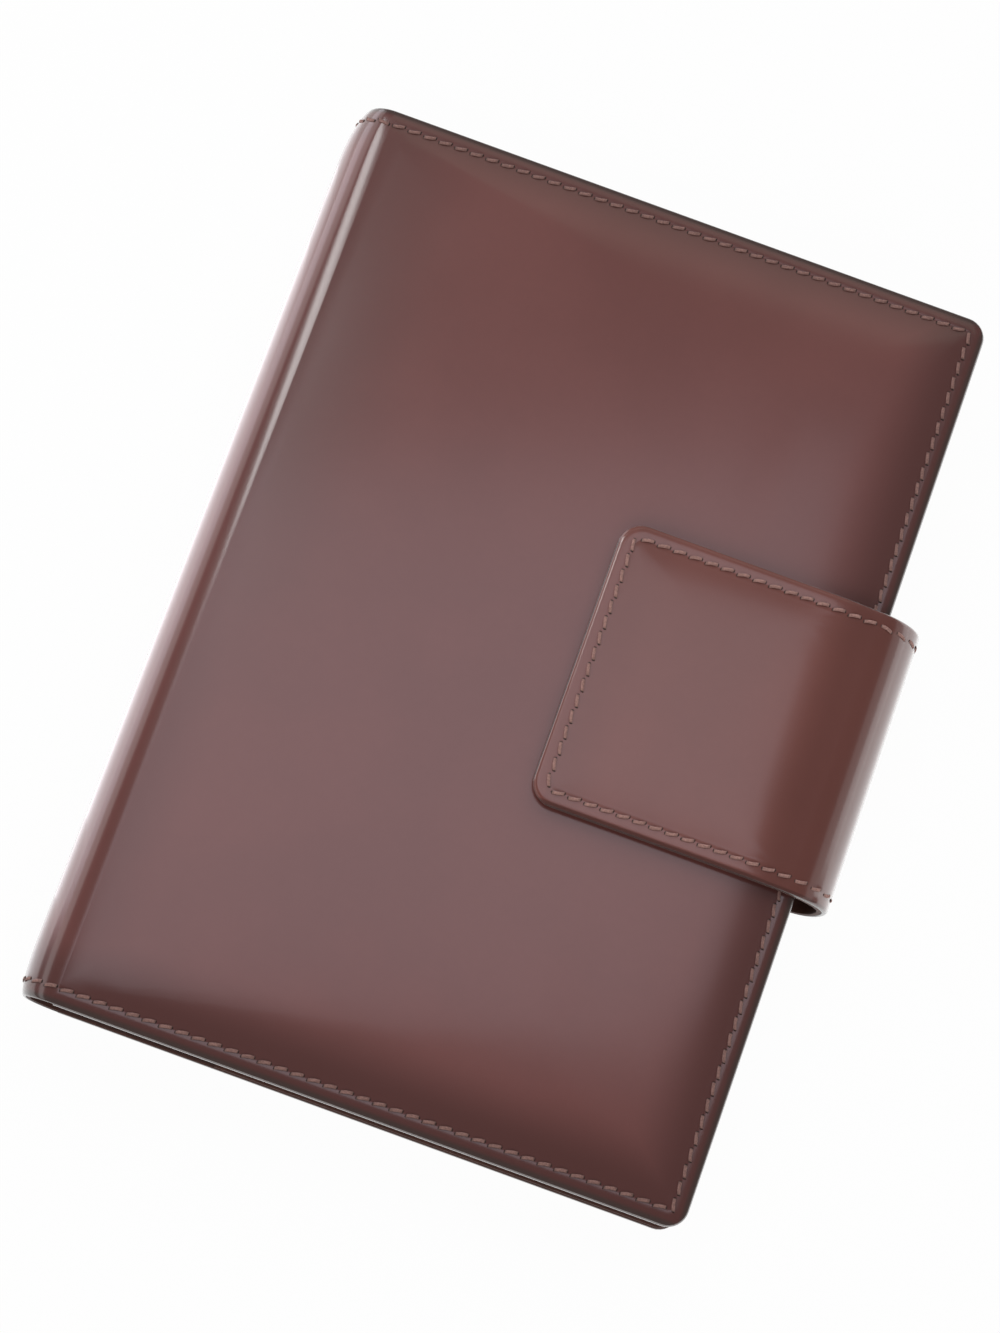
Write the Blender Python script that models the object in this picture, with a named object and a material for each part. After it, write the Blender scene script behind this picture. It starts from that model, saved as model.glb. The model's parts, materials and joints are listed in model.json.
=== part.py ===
"""Six-ring leather planner, closed and lying on its back cover.

+X runs from the spine to the fore edge, +Y up the spine, +Z up from the table.
Every object is one piece of the planner, and its origin lies on the axis that it turns about.
"""
from math import acos, asin, cos, hypot, pi, radians, sin, sqrt

import bmesh
import bpy
from mathutils import Matrix, Vector

for old in list(bpy.data.objects):
    bpy.data.objects.remove(old, do_unlink=True)

MM = 0.001

# Leaves
PAGE_WIDTH = 95 * MM
PAGE_HEIGHT = 171 * MM
PAGE_CORNER = 3 * MM
PAGE_HOLE_RADIUS = 3 * MM
PAGE_PAST_AXIS = 0.1 * MM
PAGE_HOLE_PAST_RING = 0.2 * MM
LEAVES = 1.75 * MM
DIVIDER = 0.3 * MM
LEAF_GAP = 0.1 * MM
LEAF_CLEARANCE = 0.2 * MM
DIVIDER_TAB = 6 * MM
DIVIDER_TAB_LENGTH = 35 * MM
DIVIDER_TAB_MIDDLE = 42.5 * MM

# Cover
COVER_PAST_LEAVES = 9.5 * MM
COVER_HEIGHT = PAGE_HEIGHT + 2 * COVER_PAST_LEAVES
COVER_WIDTH = 134 * MM
SPINE_DEPTH = 8 * MM
CORNER_RADIUS = 4 * MM
FOLD_CORNER = 0.5 * MM
LEATHER = 1.0 * MM
BOARD = 0.6 * MM
LINING = 0.6 * MM
LAYER_GAP = 0.1 * MM
FOLD_GAP = 0.3 * MM
PAD_RISE = 0.9 * MM
PAD_CLEARANCE = 0.1 * MM
PAD_EDGE = 10 * MM
SEAM_WIDTH = 4 * MM
POCKET_MOUTH = 40 * MM
POCKET_MARGIN = 0.2 * MM

# Closing strap
STRAP_WIDTH = 58.8 * MM
STRAP_MIDDLE = 1.6 * MM
STRAP_LAYER = 1.0 * MM
STRAP_CORNER = 5 * MM
TAB_LENGTH = 53.2 * MM
TAB_CLEARANCE = 0.7 * MM
LOOP_REACH = 7.5 * MM
LOOP_INSET = 2 * MM
ANCHOR_LENGTH = 14 * MM
ANCHOR_NARROWER = 1 * MM

# Press stud
SNAP_FROM_END = 10 * MM
SNAP_FLANGE = 4.5 * MM
SNAP_SHEET = 0.3 * MM
SNAP_GAP = 0.05 * MM
POST_STEM = 0.9 * MM
STEM_CLEARANCE = 0.1 * MM
STUD_WALL = 0.4 * MM
STUD_LIP = 0.2 * MM
SOCKET_CLEARANCE = 0.3 * MM
SOCKET_WALL = 0.9 * MM

# Ring mechanism
RING_HOLES = (25.4 * MM, 44.45 * MM, 63.5 * MM)
RING_RADIUS = 5.0 * MM
RING_WIRE = 0.9 * MM
RING_OPENS = radians(16)
RING_TIP_GAP = 0.2 * MM
RING_CLEARANCE = 0.25 * MM
RING_SLOT_CLEARANCE = 0.5 * MM
FOOT_OVER_BLADE = 0.7 * MM
RAIL_FROM_CREASE = 2.3 * MM
RAIL_HALF_WIDTH = 6.2 * MM
RAIL_HEIGHT = 3.3 * MM
RAIL_SHEET = 0.5 * MM
RAIL_SIDE = 0.9 * MM
RAIL_SLOPE = 1.6 * MM
RAIL_INSIDE_LEAVES = 3.5 * MM
RAIL_HALF_LENGTH = PAGE_HEIGHT / 2 - RAIL_INSIDE_LEAVES
BLADE_FROM_SIDE = 1.5 * MM
BLADE_HEIGHT = 1.2 * MM
BLADE_MIDDLE_GAP = 0.2 * MM
BLADE_SHEET = 0.7 * MM
BLADE_DROOP = radians(7)
BLADE_END_GAP = 1.6 * MM
RIVET_Y = 35 * MM
RIVET_SHANK = 1.3 * MM
RIVET_FOOT = 3.0 * MM
RIVET_HEAD = 2.6 * MM
RIVET_HEAD_HEIGHT = 0.45 * MM
RIVET_CLEARANCE = 0.15 * MM
BLADE_NOTCH_CLEARANCE = 0.9 * MM
LEVER_FROM_END = 2 * MM
LEVER_HEIGHT = 1.6 * MM
LEVER_TAIL = 2.4 * MM
LEVER_REACH = 12.5 * MM
LEVER_THUMB = 4.3 * MM
LEVER_BOSS = 0.9 * MM
LEVER_HALF_WIDTH = 3.4 * MM
PIN_RADIUS = 0.5 * MM
PIN_CLEARANCE = 0.05 * MM

# Places and heights that follow from the sizes above
FORE_X = COVER_WIDTH / 2
SPINE_X = -COVER_WIDTH / 2
CREASE_X = SPINE_X + SPINE_DEPTH
TOP_Y = COVER_HEIGHT / 2
BACK_BOARD_Z = LEATHER + LAYER_GAP
BACK_LINING_Z = BACK_BOARD_Z + BOARD + LAYER_GAP
BACK_POCKET_Z = BACK_LINING_Z + LINING + LAYER_GAP
RAIL_Z = BACK_LINING_Z + LINING + LAYER_GAP
RAIL_TOP_Z = RAIL_Z + RAIL_HEIGHT
RING_X = CREASE_X + RAIL_FROM_CREASE + RAIL_HALF_WIDTH
HALF_STACK = LEAF_GAP / 2 + DIVIDER + LEAF_GAP + LEAVES
RING_Z = RAIL_TOP_Z + SNAP_GAP + RIVET_HEAD_HEIGHT + LEAF_CLEARANCE + HALF_STACK
BLADE_PIVOT = RAIL_HALF_WIDTH - BLADE_FROM_SIDE
BLADE_WIDTH = BLADE_PIVOT - BLADE_MIDDLE_GAP
BLADE_Z = RAIL_Z + BLADE_HEIGHT
FOOT_Z = BLADE_Z + BLADE_SHEET / 2 + FOOT_OVER_BLADE
RING_FOOT = acos((RING_Z - FOOT_Z) / RING_RADIUS)
RING_OPEN_TOP = (
    BLADE_Z + (RING_Z + RING_RADIUS - BLADE_Z) * cos(RING_OPENS)
    + BLADE_PIVOT * sin(RING_OPENS) + RING_WIRE
)
PAGE_HOLE_FROM_RING = RING_RADIUS + PAGE_HOLE_PAST_RING
PAGE_X = RING_X + PAGE_PAST_AXIS
PAGE_DROP = RING_Z - HALF_STACK - BACK_POCKET_Z - LINING - LEAF_CLEARANCE
PAGE_SLOPE = asin(PAGE_DROP / (PAGE_X + PAGE_WIDTH - RING_X))
FRONT_LINING_Z = RING_OPEN_TOP + RING_CLEARANCE
FRONT_POCKET_Z = FRONT_LINING_Z - LAYER_GAP - LINING
FRONT_BOARD_Z = FRONT_LINING_Z + LINING + LAYER_GAP
FRONT_LEATHER_Z = FRONT_BOARD_Z + BOARD + LAYER_GAP
EDGE_TOP = FRONT_LEATHER_Z + LEATHER
COVER_TOP = EDGE_TOP + PAD_RISE
TAB_Z = COVER_TOP + TAB_CLEARANCE
TAB_LEATHER_Z = TAB_Z + STRAP_LAYER + LAYER_GAP
STRAP_HALF = STRAP_LAYER + LAYER_GAP / 2
LOOP_END_X = FORE_X - LOOP_INSET
LOOP_START_X = FORE_X + 2 * FOLD_GAP
LOOP_LOW_Z = BACK_BOARD_Z + BOARD / 2
LOOP_HIGH_Z = TAB_Z + STRAP_HALF
LOOP_MID_Z = (LOOP_LOW_Z + LOOP_HIGH_Z) / 2
LOOP_OUT_X = FORE_X + LOOP_REACH - STRAP_HALF
SNAP_X = LOOP_END_X - TAB_LENGTH + SNAP_FROM_END
LEVER_Y = RAIL_HALF_LENGTH - LEVER_FROM_END
LEVER_Z = RAIL_Z + LEVER_HEIGHT
BLADE_HALF_LENGTH = LEVER_Y - LEVER_TAIL - BLADE_END_GAP

# Axes that pieces turn about, each running along Y except the levers'
ROOT = Vector((0, 0, 0))
COVER_AXIS = Vector((SPINE_X + LEATHER / 2, 0, COVER_TOP / 2))
PAGE_AXIS = Vector((RING_X, 0, RING_Z))
LEFT_AXIS = Vector((RING_X - BLADE_PIVOT, 0, BLADE_Z))
RIGHT_AXIS = Vector((RING_X + BLADE_PIVOT, 0, BLADE_Z))


def quarter_length(a, b):
    """Length of a quarter of an ellipse, near enough for leather."""
    return pi / 2 * ((a * a + b * b) / 2) ** 0.5


def straightening_axis(start, end, arc):
    """Axis about which a quarter bend turns flat: its end, turned, lands one arc from its start."""
    total = end[0] + start[1]
    difference = start[0] + arc - end[1]
    return Vector(((total + difference) / 2, 0, (total - difference) / 2))


LOW_ARC = quarter_length(LOOP_OUT_X - LOOP_START_X, LOOP_MID_Z - LOOP_LOW_Z)
HIGH_ARC = quarter_length(LOOP_OUT_X - LOOP_END_X, LOOP_HIGH_Z - LOOP_MID_Z)
SWING_AXIS = straightening_axis((LOOP_START_X, LOOP_LOW_Z), (LOOP_OUT_X, LOOP_MID_Z), LOW_ARC)
UP_FROM_MIDDLE = LOOP_MID_Z + HIGH_ARC
TAB_AXIS = Vector((
    (LOOP_OUT_X - LOOP_HIGH_Z + LOOP_END_X + UP_FROM_MIDDLE) / 2, 0,
    (LOOP_END_X + UP_FROM_MIDDLE - LOOP_OUT_X + LOOP_HIGH_Z) / 2,
))
SWING_AXIS.y = STRAP_MIDDLE
TAB_AXIS.y = STRAP_MIDDLE

planner = bpy.data.collections.new("planner")
cutters = bpy.data.collections.new("cutters")
bpy.context.scene.collection.children.link(planner)
bpy.context.scene.collection.children.link(cutters)

FRAMES = {
    "plan": Matrix(((1, 0, 0, 0), (0, 1, 0, 0), (0, 0, 1, 0), (0, 0, 0, 1))),
    "along_y": Matrix(((1, 0, 0, 0), (0, 0, 1, 0), (0, 1, 0, 0), (0, 0, 0, 1))),
    "along_x": Matrix(((0, 0, 1, 0), (1, 0, 0, 0), (0, 1, 0, 0), (0, 0, 0, 1))),
}


def finish(thing, colour, roughness, metallic=0.0, axis=ROOT):
    """Put a piece in the planner with a material of its own and its origin on its axis."""
    thing.data.transform(Matrix.Translation(-axis))
    thing.location = axis
    made = bpy.data.materials.new(thing.name)
    made.use_nodes = True
    shader = made.node_tree.nodes["Principled BSDF"]
    shader.inputs["Base Color"].default_value = (*colour, 1)
    shader.inputs["Roughness"].default_value = roughness
    shader.inputs["Metallic"].default_value = metallic
    thing.data.materials.clear()
    thing.data.materials.append(made)
    planner.objects.link(thing)
    return thing


def tidy(mesh):
    """Weld the mesh, merge its flat faces and turn them outward."""
    work = bmesh.new()
    work.from_mesh(mesh)
    bmesh.ops.remove_doubles(work, verts=work.verts, dist=1e-7)
    bmesh.ops.dissolve_limit(
        work, angle_limit=radians(0.2), verts=work.verts, edges=work.edges, delimit={"NORMAL"}
    )
    bmesh.ops.recalc_face_normals(work, faces=work.faces)
    work.to_mesh(mesh)
    work.free()


def slab(name, outline, low, high, way="plan"):
    """A solid with one outline all through, from low to high along the way that it is drawn."""
    curve = bpy.data.curves.new(name, "CURVE")
    curve.dimensions = "2D"
    curve.fill_mode = "BOTH"
    curve.extrude = (high - low) / 2
    spline = curve.splines.new("POLY")
    spline.points.add(len(outline) - 1)
    for point, (u, v) in zip(spline.points, outline):
        point.co = (u, v, 0, 1)
    spline.use_cyclic_u = True
    drawn = bpy.data.objects.new(name, curve)
    mesh = bpy.data.meshes.new_from_object(drawn)
    bpy.data.objects.remove(drawn)
    mesh.transform(Matrix.Translation((0, 0, (low + high) / 2)))
    mesh.transform(FRAMES[way])
    tidy(mesh)
    return bpy.data.objects.new(name, mesh)


def rounded(x0, x1, y0, y1, left=0.0, right=0.0, steps=6):
    """Outline of a rectangle whose left and right corners are rounded, anticlockwise."""
    out = []
    for x, y, radius, turn in (
        (x1, y0, right, -90), (x1, y1, right, 0), (x0, y1, left, 90), (x0, y0, left, 180),
    ):
        if not radius:
            out.append((x, y))
            continue
        cx = x - radius if x == x1 else x + radius
        cy = y - radius if y == y1 else y + radius
        for i in range(steps + 1):
            a = radians(turn + 90 * i / steps)
            out.append((cx + radius * cos(a), cy + radius * sin(a)))
    return out


def cutter(name, mesh, axis=ROOT):
    """A hidden shape that only cuts."""
    mesh.transform(Matrix.Translation(-axis))
    thing = bpy.data.objects.new(name, mesh)
    thing.location = axis
    thing.hide_render = True
    thing.display_type = "WIRE"
    cutters.objects.link(thing)
    return thing


def round_holes(name, places, radius, low, high, along="Z", steps=20, axis=ROOT):
    """Cutter of round holes with one radius, at points of the plane that they cross."""
    work = bmesh.new()
    turn = {"Z": Matrix(), "X": Matrix.Rotation(pi / 2, 4, "Y")}[along]
    for place in places:
        middle = Vector(place) + (turn @ Vector((0, 0, (low + high) / 2)))
        bmesh.ops.create_cone(
            work, cap_ends=True, segments=steps, radius1=radius, radius2=radius,
            depth=high - low, matrix=Matrix.Translation(middle) @ turn,
        )
    mesh = bpy.data.meshes.new(name)
    work.to_mesh(mesh)
    work.free()
    return cutter(name, mesh, axis)


def boxes(name, corners):
    """Cutter of boxes, each from its low corner to its high corner."""
    work = bmesh.new()
    for low, high in corners:
        low, high = Vector(low), Vector(high)
        size = Matrix.Diagonal((*(high - low), 1))
        bmesh.ops.create_cube(work, size=1, matrix=Matrix.Translation((low + high) / 2) @ size)
    mesh = bpy.data.meshes.new(name)
    work.to_mesh(mesh)
    work.free()
    return cutter(name, mesh)


def cut(thing, *tools):
    """Take each cutter out of a piece."""
    for tool in tools:
        step = thing.modifiers.new(tool.name, "BOOLEAN")
        step.operation = "DIFFERENCE"
        step.solver = "EXACT"
        step.object = tool


def smooth(mesh):
    """Shade a round piece smooth, with its edges kept sharp."""
    mesh.shade_smooth()
    mesh.set_sharp_from_angle(angle=radians(30))


def lathe(name, profile, x, y, steps=24):
    """A round piece that stands at a place in plan, turned from (radius, height) points."""
    work = bmesh.new()
    points = [work.verts.new((x + radius, y, height)) for radius, height in profile]
    edges = [work.edges.new(pair) for pair in zip(points, points[1:])]
    bmesh.ops.spin(
        work, geom=points + edges, cent=(x, y, 0), axis=(0, 0, 1), angle=2 * pi, steps=steps, use_merge=True
    )
    bmesh.ops.remove_doubles(work, verts=work.verts, dist=1e-7)
    bmesh.ops.recalc_face_normals(work, faces=work.faces)
    mesh = bpy.data.meshes.new(name)
    work.to_mesh(mesh)
    work.free()
    smooth(mesh)
    return bpy.data.objects.new(name, mesh)


def cover_outline(inset=0.0):
    """Outline of a cover panel, from its fold to the fore edge, drawn in by an inset."""
    return rounded(
        CREASE_X + FOLD_GAP / 2 + inset, FORE_X - inset, -TOP_Y + inset, TOP_Y - inset,
        FOLD_CORNER, CORNER_RADIUS,
    )


def dished(name, over, under):
    """A sheet whose top and underside each step through outlines, from its edge to its middle."""
    work = bmesh.new()
    rings = []
    for outline, height in (*reversed(over), *under):
        rings.append([work.verts.new((x, y, height)) for x, y in outline])
    for one, other in zip(rings, rings[1:]):
        for i in range(len(one)):
            work.faces.new((one[i - 1], one[i], other[i], other[i - 1]))
    work.faces.new(rings[0])
    work.faces.new(rings[-1])
    bmesh.ops.recalc_face_normals(work, faces=work.faces)
    mesh = bpy.data.meshes.new(name)
    work.to_mesh(mesh)
    work.free()
    return bpy.data.objects.new(name, mesh)


BROWN = (0.20, 0.085, 0.065)
STRAP_BROWN = (0.22, 0.08, 0.055)
INSIDE_BROWN = (0.16, 0.075, 0.055)
GREY_BOARD = (0.36, 0.30, 0.24)
STEEL = (0.72, 0.72, 0.70)
PAPER = (0.86, 0.83, 0.75)

# Back cover: leather on the table, board on it, lining over both, and a pocket panel sewn to the lining
back_leather = slab("back_leather", cover_outline(), 0, LEATHER)
finish(back_leather, BROWN, 0.4)

back_board = slab("back_board", cover_outline(), BACK_BOARD_Z, BACK_BOARD_Z + BOARD)
finish(back_board, GREY_BOARD, 0.8)

back_lining = slab("back_lining", cover_outline(), BACK_LINING_Z, BACK_LINING_Z + LINING)
finish(back_lining, INSIDE_BROWN, 0.6)

pocket = rounded(
    SPINE_X + POCKET_MOUTH, FORE_X - POCKET_MARGIN, -TOP_Y + POCKET_MARGIN, TOP_Y - POCKET_MARGIN,
    0.0, CORNER_RADIUS - POCKET_MARGIN,
)
back_pocket = slab("back_pocket", pocket, BACK_POCKET_Z, BACK_POCKET_Z + LINING)
finish(back_pocket, INSIDE_BROWN, 0.6)


# Spine: a soft half-round of leather from fold to fold, lined on its inside
def half_round(depth, half, steps=20):
    """Points of the left half of an ellipse about the middle of the spine, from bottom to top."""
    x = CREASE_X - FOLD_GAP / 2
    middle = EDGE_TOP / 2
    turns = [pi * i / steps for i in range(steps + 1)]
    return [(x - depth * sin(a), middle - half * cos(a)) for a in turns]


def spine_shell(name, depth_out, half_out, depth_in, half_in):
    """A spine layer between two half ellipses."""
    outline = half_round(depth_out, half_out) + half_round(depth_in, half_in)[::-1]
    return slab(name, outline, -TOP_Y, TOP_Y, "along_y")


OUTER_DEPTH = SPINE_DEPTH - FOLD_GAP / 2
LINING_DEPTH = OUTER_DEPTH - LEATHER - 2 * LAYER_GAP
spine_leather = spine_shell(
    "spine_leather", OUTER_DEPTH, EDGE_TOP / 2, OUTER_DEPTH - LEATHER, EDGE_TOP / 2 - LEATHER
)
smooth(spine_leather.data)
finish(spine_leather, BROWN, 0.4)

spine_lining = spine_shell(
    "spine_lining", LINING_DEPTH, EDGE_TOP / 2 - BACK_LINING_Z,
    LINING_DEPTH - LINING, EDGE_TOP / 2 - BACK_LINING_Z - LINING,
)
smooth(spine_lining.data)
finish(spine_lining, INSIDE_BROWN, 0.6)

# Front cover: leather drawn over a soft pad, on a board, with a lining and a pocket panel inside
STEPS = ((0.0, 0.0), (SEAM_WIDTH, 0.0), (PAD_EDGE, 0.6), (2 * PAD_EDGE, 1.0))
front_leather = dished(
    "front_leather",
    [(cover_outline(d), EDGE_TOP + PAD_RISE * up) for d, up in STEPS],
    [(cover_outline(d), FRONT_LEATHER_Z + PAD_RISE * up) for d, up in STEPS],
)
finish(front_leather, BROWN, 0.4, axis=COVER_AXIS)

PAD_LOW = FRONT_BOARD_Z + BOARD + LAYER_GAP
PAD_TOP = FRONT_LEATHER_Z + PAD_RISE - PAD_CLEARANCE
front_pad = dished(
    "front_pad",
    [
        (cover_outline(PAD_EDGE), PAD_LOW + 0.5 * (PAD_RISE - PAD_CLEARANCE)),
        (cover_outline(2 * PAD_EDGE), PAD_TOP),
    ],
    [(cover_outline(PAD_EDGE), PAD_LOW)],
)
finish(front_pad, (0.78, 0.76, 0.70), 0.9, axis=COVER_AXIS)

front_board = slab("front_board", cover_outline(), FRONT_BOARD_Z, FRONT_BOARD_Z + BOARD)
finish(front_board, GREY_BOARD, 0.8, axis=COVER_AXIS)

front_lining = slab("front_lining", cover_outline(), FRONT_LINING_Z, FRONT_LINING_Z + LINING)
finish(front_lining, INSIDE_BROWN, 0.6, axis=COVER_AXIS)

front_pocket = slab("front_pocket", pocket, FRONT_POCKET_Z, FRONT_POCKET_Z + LINING)
finish(front_pocket, INSIDE_BROWN, 0.6, axis=COVER_AXIS)

# Strap: its thin end is let into the back cover, it bends round the fore edge, and its tab lies on the front
STRAP_LOW_Y = STRAP_MIDDLE - STRAP_WIDTH / 2
STRAP_HIGH_Y = STRAP_MIDDLE + STRAP_WIDTH / 2
strap_anchor = slab(
    "strap_anchor",
    rounded(
        FORE_X - ANCHOR_LENGTH, LOOP_START_X - FOLD_GAP,
        STRAP_LOW_Y + ANCHOR_NARROWER / 2, STRAP_HIGH_Y - ANCHOR_NARROWER / 2,
    ),
    BACK_BOARD_Z, BACK_BOARD_Z + BOARD,
)
finish(strap_anchor, STRAP_BROWN, 0.45)
notch = boxes("anchor_notch", [(
    (FORE_X - ANCHOR_LENGTH - FOLD_GAP, STRAP_LOW_Y, 0),
    (FORE_X + ANCHOR_LENGTH, STRAP_HIGH_Y, BACK_BOARD_Z + 2 * BOARD),
)])
cut(back_board, notch)


def loop_path(steps=10):
    """Middle line of the strap bend with its outward normals, from the back cover up to the tab."""
    out = []
    for i in range(2 * steps + 1):
        a = pi * i / (2 * steps) - pi / 2
        low = i <= steps
        cx = LOOP_START_X if low else LOOP_END_X
        half = LOOP_MID_Z - LOOP_LOW_Z if low else LOOP_HIGH_Z - LOOP_MID_Z
        reach = LOOP_OUT_X - cx
        across, up = cos(a) / reach, sin(a) / half
        size = hypot(across, up)
        place = Vector((cx + reach * cos(a), LOOP_MID_Z + half * sin(a)))
        out.append((place, Vector((across / size, up / size))))
    return out


def loop_layer(name, inner, outer):
    """One layer of the strap bend, between two offsets from its middle line."""
    path = loop_path()
    outline = [tuple(p + n * outer) for p, n in path] + [tuple(p + n * inner) for p, n in path[::-1]]
    return slab(name, outline, STRAP_LOW_Y, STRAP_HIGH_Y, "along_y")


strap_bend = loop_layer("strap_bend", LAYER_GAP / 2, STRAP_HALF)
smooth(strap_bend.data)
finish(strap_bend, STRAP_BROWN, 0.4, axis=SWING_AXIS)

strap_bend_lining = loop_layer("strap_bend_lining", -STRAP_HALF, -LAYER_GAP / 2)
smooth(strap_bend_lining.data)
finish(strap_bend_lining, INSIDE_BROWN, 0.6, axis=SWING_AXIS)

tab_plan = rounded(
    LOOP_END_X - TAB_LENGTH, LOOP_END_X - FOLD_GAP, STRAP_LOW_Y, STRAP_HIGH_Y, STRAP_CORNER, 0.0
)
strap_tab_leather = slab("strap_tab_leather", tab_plan, TAB_LEATHER_Z, TAB_LEATHER_Z + STRAP_LAYER)
finish(strap_tab_leather, STRAP_BROWN, 0.4, axis=TAB_AXIS)

strap_tab_lining = slab("strap_tab_lining", tab_plan, TAB_Z, TAB_Z + STRAP_LAYER)
finish(strap_tab_lining, INSIDE_BROWN, 0.6, axis=TAB_AXIS)

# Press stud: the post holds the stud to the front leather, and the cap holds the socket to the tab's lining
SNAP = (SNAP_X, STRAP_MIDDLE)
stem_room = POST_STEM + STEM_CLEARANCE
stud_neck = stem_room + STUD_WALL
stud_head = stud_neck + STUD_LIP
socket_bore = stud_head + SOCKET_CLEARANCE
socket_barrel = socket_bore + SOCKET_WALL
stud_top = TAB_Z + STRAP_LAYER - SNAP_GAP
stud_low = COVER_TOP + SNAP_GAP
bore_top = stud_top - 1.5 * SNAP_SHEET
snap_stud = lathe("snap_stud", [
    (0, stud_top), (stud_head - SNAP_SHEET, stud_top), (stud_head, bore_top),
    (stud_neck, bore_top - SNAP_SHEET), (stud_neck, stud_low + SNAP_SHEET),
    (SNAP_FLANGE - SNAP_SHEET / 2, stud_low + SNAP_SHEET), (SNAP_FLANGE, stud_low + SNAP_SHEET / 2),
    (SNAP_FLANGE, stud_low), (stem_room, stud_low), (stem_room, bore_top), (0, bore_top),
], *SNAP)
finish(snap_stud, STEEL, 0.3, 1.0, axis=COVER_AXIS)

post_low = COVER_TOP - LEATHER - SNAP_GAP - SNAP_SHEET
post_top = bore_top - SNAP_GAP
snap_post = lathe("snap_post", [
    (0, post_top), (POST_STEM, post_top), (POST_STEM, post_low + SNAP_SHEET),
    (SNAP_FLANGE, post_low + SNAP_SHEET), (SNAP_FLANGE, post_low), (0, post_low),
], *SNAP)
finish(snap_post, STEEL, 0.3, 1.0, axis=COVER_AXIS)

socket_low = TAB_Z - SNAP_GAP - SNAP_SHEET
socket_top = TAB_Z + STRAP_LAYER
snap_socket = lathe("snap_socket", [
    (socket_bore, socket_top), (socket_barrel, socket_top), (socket_barrel, socket_low + SNAP_SHEET),
    (SNAP_FLANGE, socket_low + SNAP_SHEET), (SNAP_FLANGE, socket_low), (socket_bore, socket_low),
    (socket_bore, socket_top),
], *SNAP)
finish(snap_socket, STEEL, 0.3, 1.0, axis=TAB_AXIS)

cap_low = TAB_LEATHER_Z - SNAP_GAP
cap_high = cap_low + SNAP_SHEET
snap_cap = lathe("snap_cap", [
    (0, cap_high), (SNAP_FLANGE, cap_high), (SNAP_FLANGE, cap_low), (0, cap_low),
], *SNAP)
finish(snap_cap, STEEL, 0.3, 1.0, axis=TAB_AXIS)

snap_place = [(*SNAP, 0)]
cut(front_leather, round_holes(
    "stud_hole", snap_place, stem_room, COVER_TOP - 2 * LEATHER, COVER_TOP + LEATHER, axis=COVER_AXIS
))
cut(front_pad, round_holes(
    "post_hole", snap_place, SNAP_FLANGE + SNAP_SHEET, PAD_LOW - LEATHER, PAD_TOP + LEATHER,
    axis=COVER_AXIS,
))
cut(strap_tab_lining, round_holes(
    "socket_hole", snap_place, socket_barrel + STEM_CLEARANCE, TAB_Z - STRAP_LAYER,
    TAB_Z + 2 * STRAP_LAYER, axis=TAB_AXIS,
))
cut(strap_tab_leather, round_holes(
    "cap_recess", snap_place, SNAP_FLANGE + SNAP_SHEET, TAB_LEATHER_Z - STRAP_LAYER,
    cap_high + SNAP_GAP, axis=TAB_AXIS,
))

# Ring rail: a folded steel channel on the back lining, open below, with a slot for each ring half
rail_flat = RAIL_HALF_WIDTH - RAIL_SLOPE
outer = [
    (-RAIL_HALF_WIDTH, 0), (-RAIL_HALF_WIDTH, RAIL_SIDE), (-rail_flat, RAIL_HEIGHT),
    (rail_flat, RAIL_HEIGHT), (RAIL_HALF_WIDTH, RAIL_SIDE), (RAIL_HALF_WIDTH, 0),
]
fold = hypot(RAIL_SLOPE, RAIL_HEIGHT - RAIL_SIDE)
flat_in = rail_flat - RAIL_SHEET * (fold - RAIL_SLOPE) / (RAIL_HEIGHT - RAIL_SIDE)
side_in = RAIL_SIDE - RAIL_SHEET * (fold - (RAIL_HEIGHT - RAIL_SIDE)) / RAIL_SLOPE
wall_in = RAIL_HALF_WIDTH - RAIL_SHEET
inner = [
    (wall_in, 0), (wall_in, side_in), (flat_in, RAIL_HEIGHT - RAIL_SHEET),
    (-flat_in, RAIL_HEIGHT - RAIL_SHEET), (-wall_in, side_in), (-wall_in, 0),
]
rail_section = [(RING_X + u, RAIL_Z + w) for u, w in outer + inner]
ring_rail = slab("ring_rail", rail_section, -RAIL_HALF_LENGTH, RAIL_HALF_LENGTH, "along_y")
finish(ring_rail, STEEL, 0.25, 1.0)

ring_ys = [-y for y in reversed(RING_HOLES)] + list(RING_HOLES)
wire_room = RING_WIRE + RING_SLOT_CLEARANCE
ring_at_rail = sqrt(RING_RADIUS ** 2 - (RING_Z - RAIL_TOP_Z + RAIL_SHEET / 2) ** 2)
slot_floor = FOOT_Z - wire_room / 2
slots = []
for y in ring_ys:
    for side in (-1, 1):
        near, far = sorted((side * (ring_at_rail - 1.4 * wire_room), side * (ring_at_rail + 1.3 * wire_room)))
        slots.append((
            (RING_X + near, y - wire_room, slot_floor),
            (RING_X + far, y + wire_room, RAIL_TOP_Z + RAIL_HEIGHT),
        ))
rivet_places = [(RING_X, RIVET_Y, 0), (RING_X, -RIVET_Y, 0)]
rivet_room = RIVET_SHANK + RIVET_CLEARANCE
pin_places = [(RING_X, side * LEVER_Y, LEVER_Z) for side in (-1, 1)]
cut(
    ring_rail, boxes("ring_slots", slots),
    round_holes("rail_rivet_holes", rivet_places, rivet_room, BLADE_Z, RAIL_TOP_Z + RAIL_HEIGHT),
    round_holes(
        "rail_pin_holes", pin_places, PIN_RADIUS + 2 * PIN_CLEARANCE,
        -2 * RAIL_HALF_WIDTH, 2 * RAIL_HALF_WIDTH, "X", 16,
    ),
)

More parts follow.
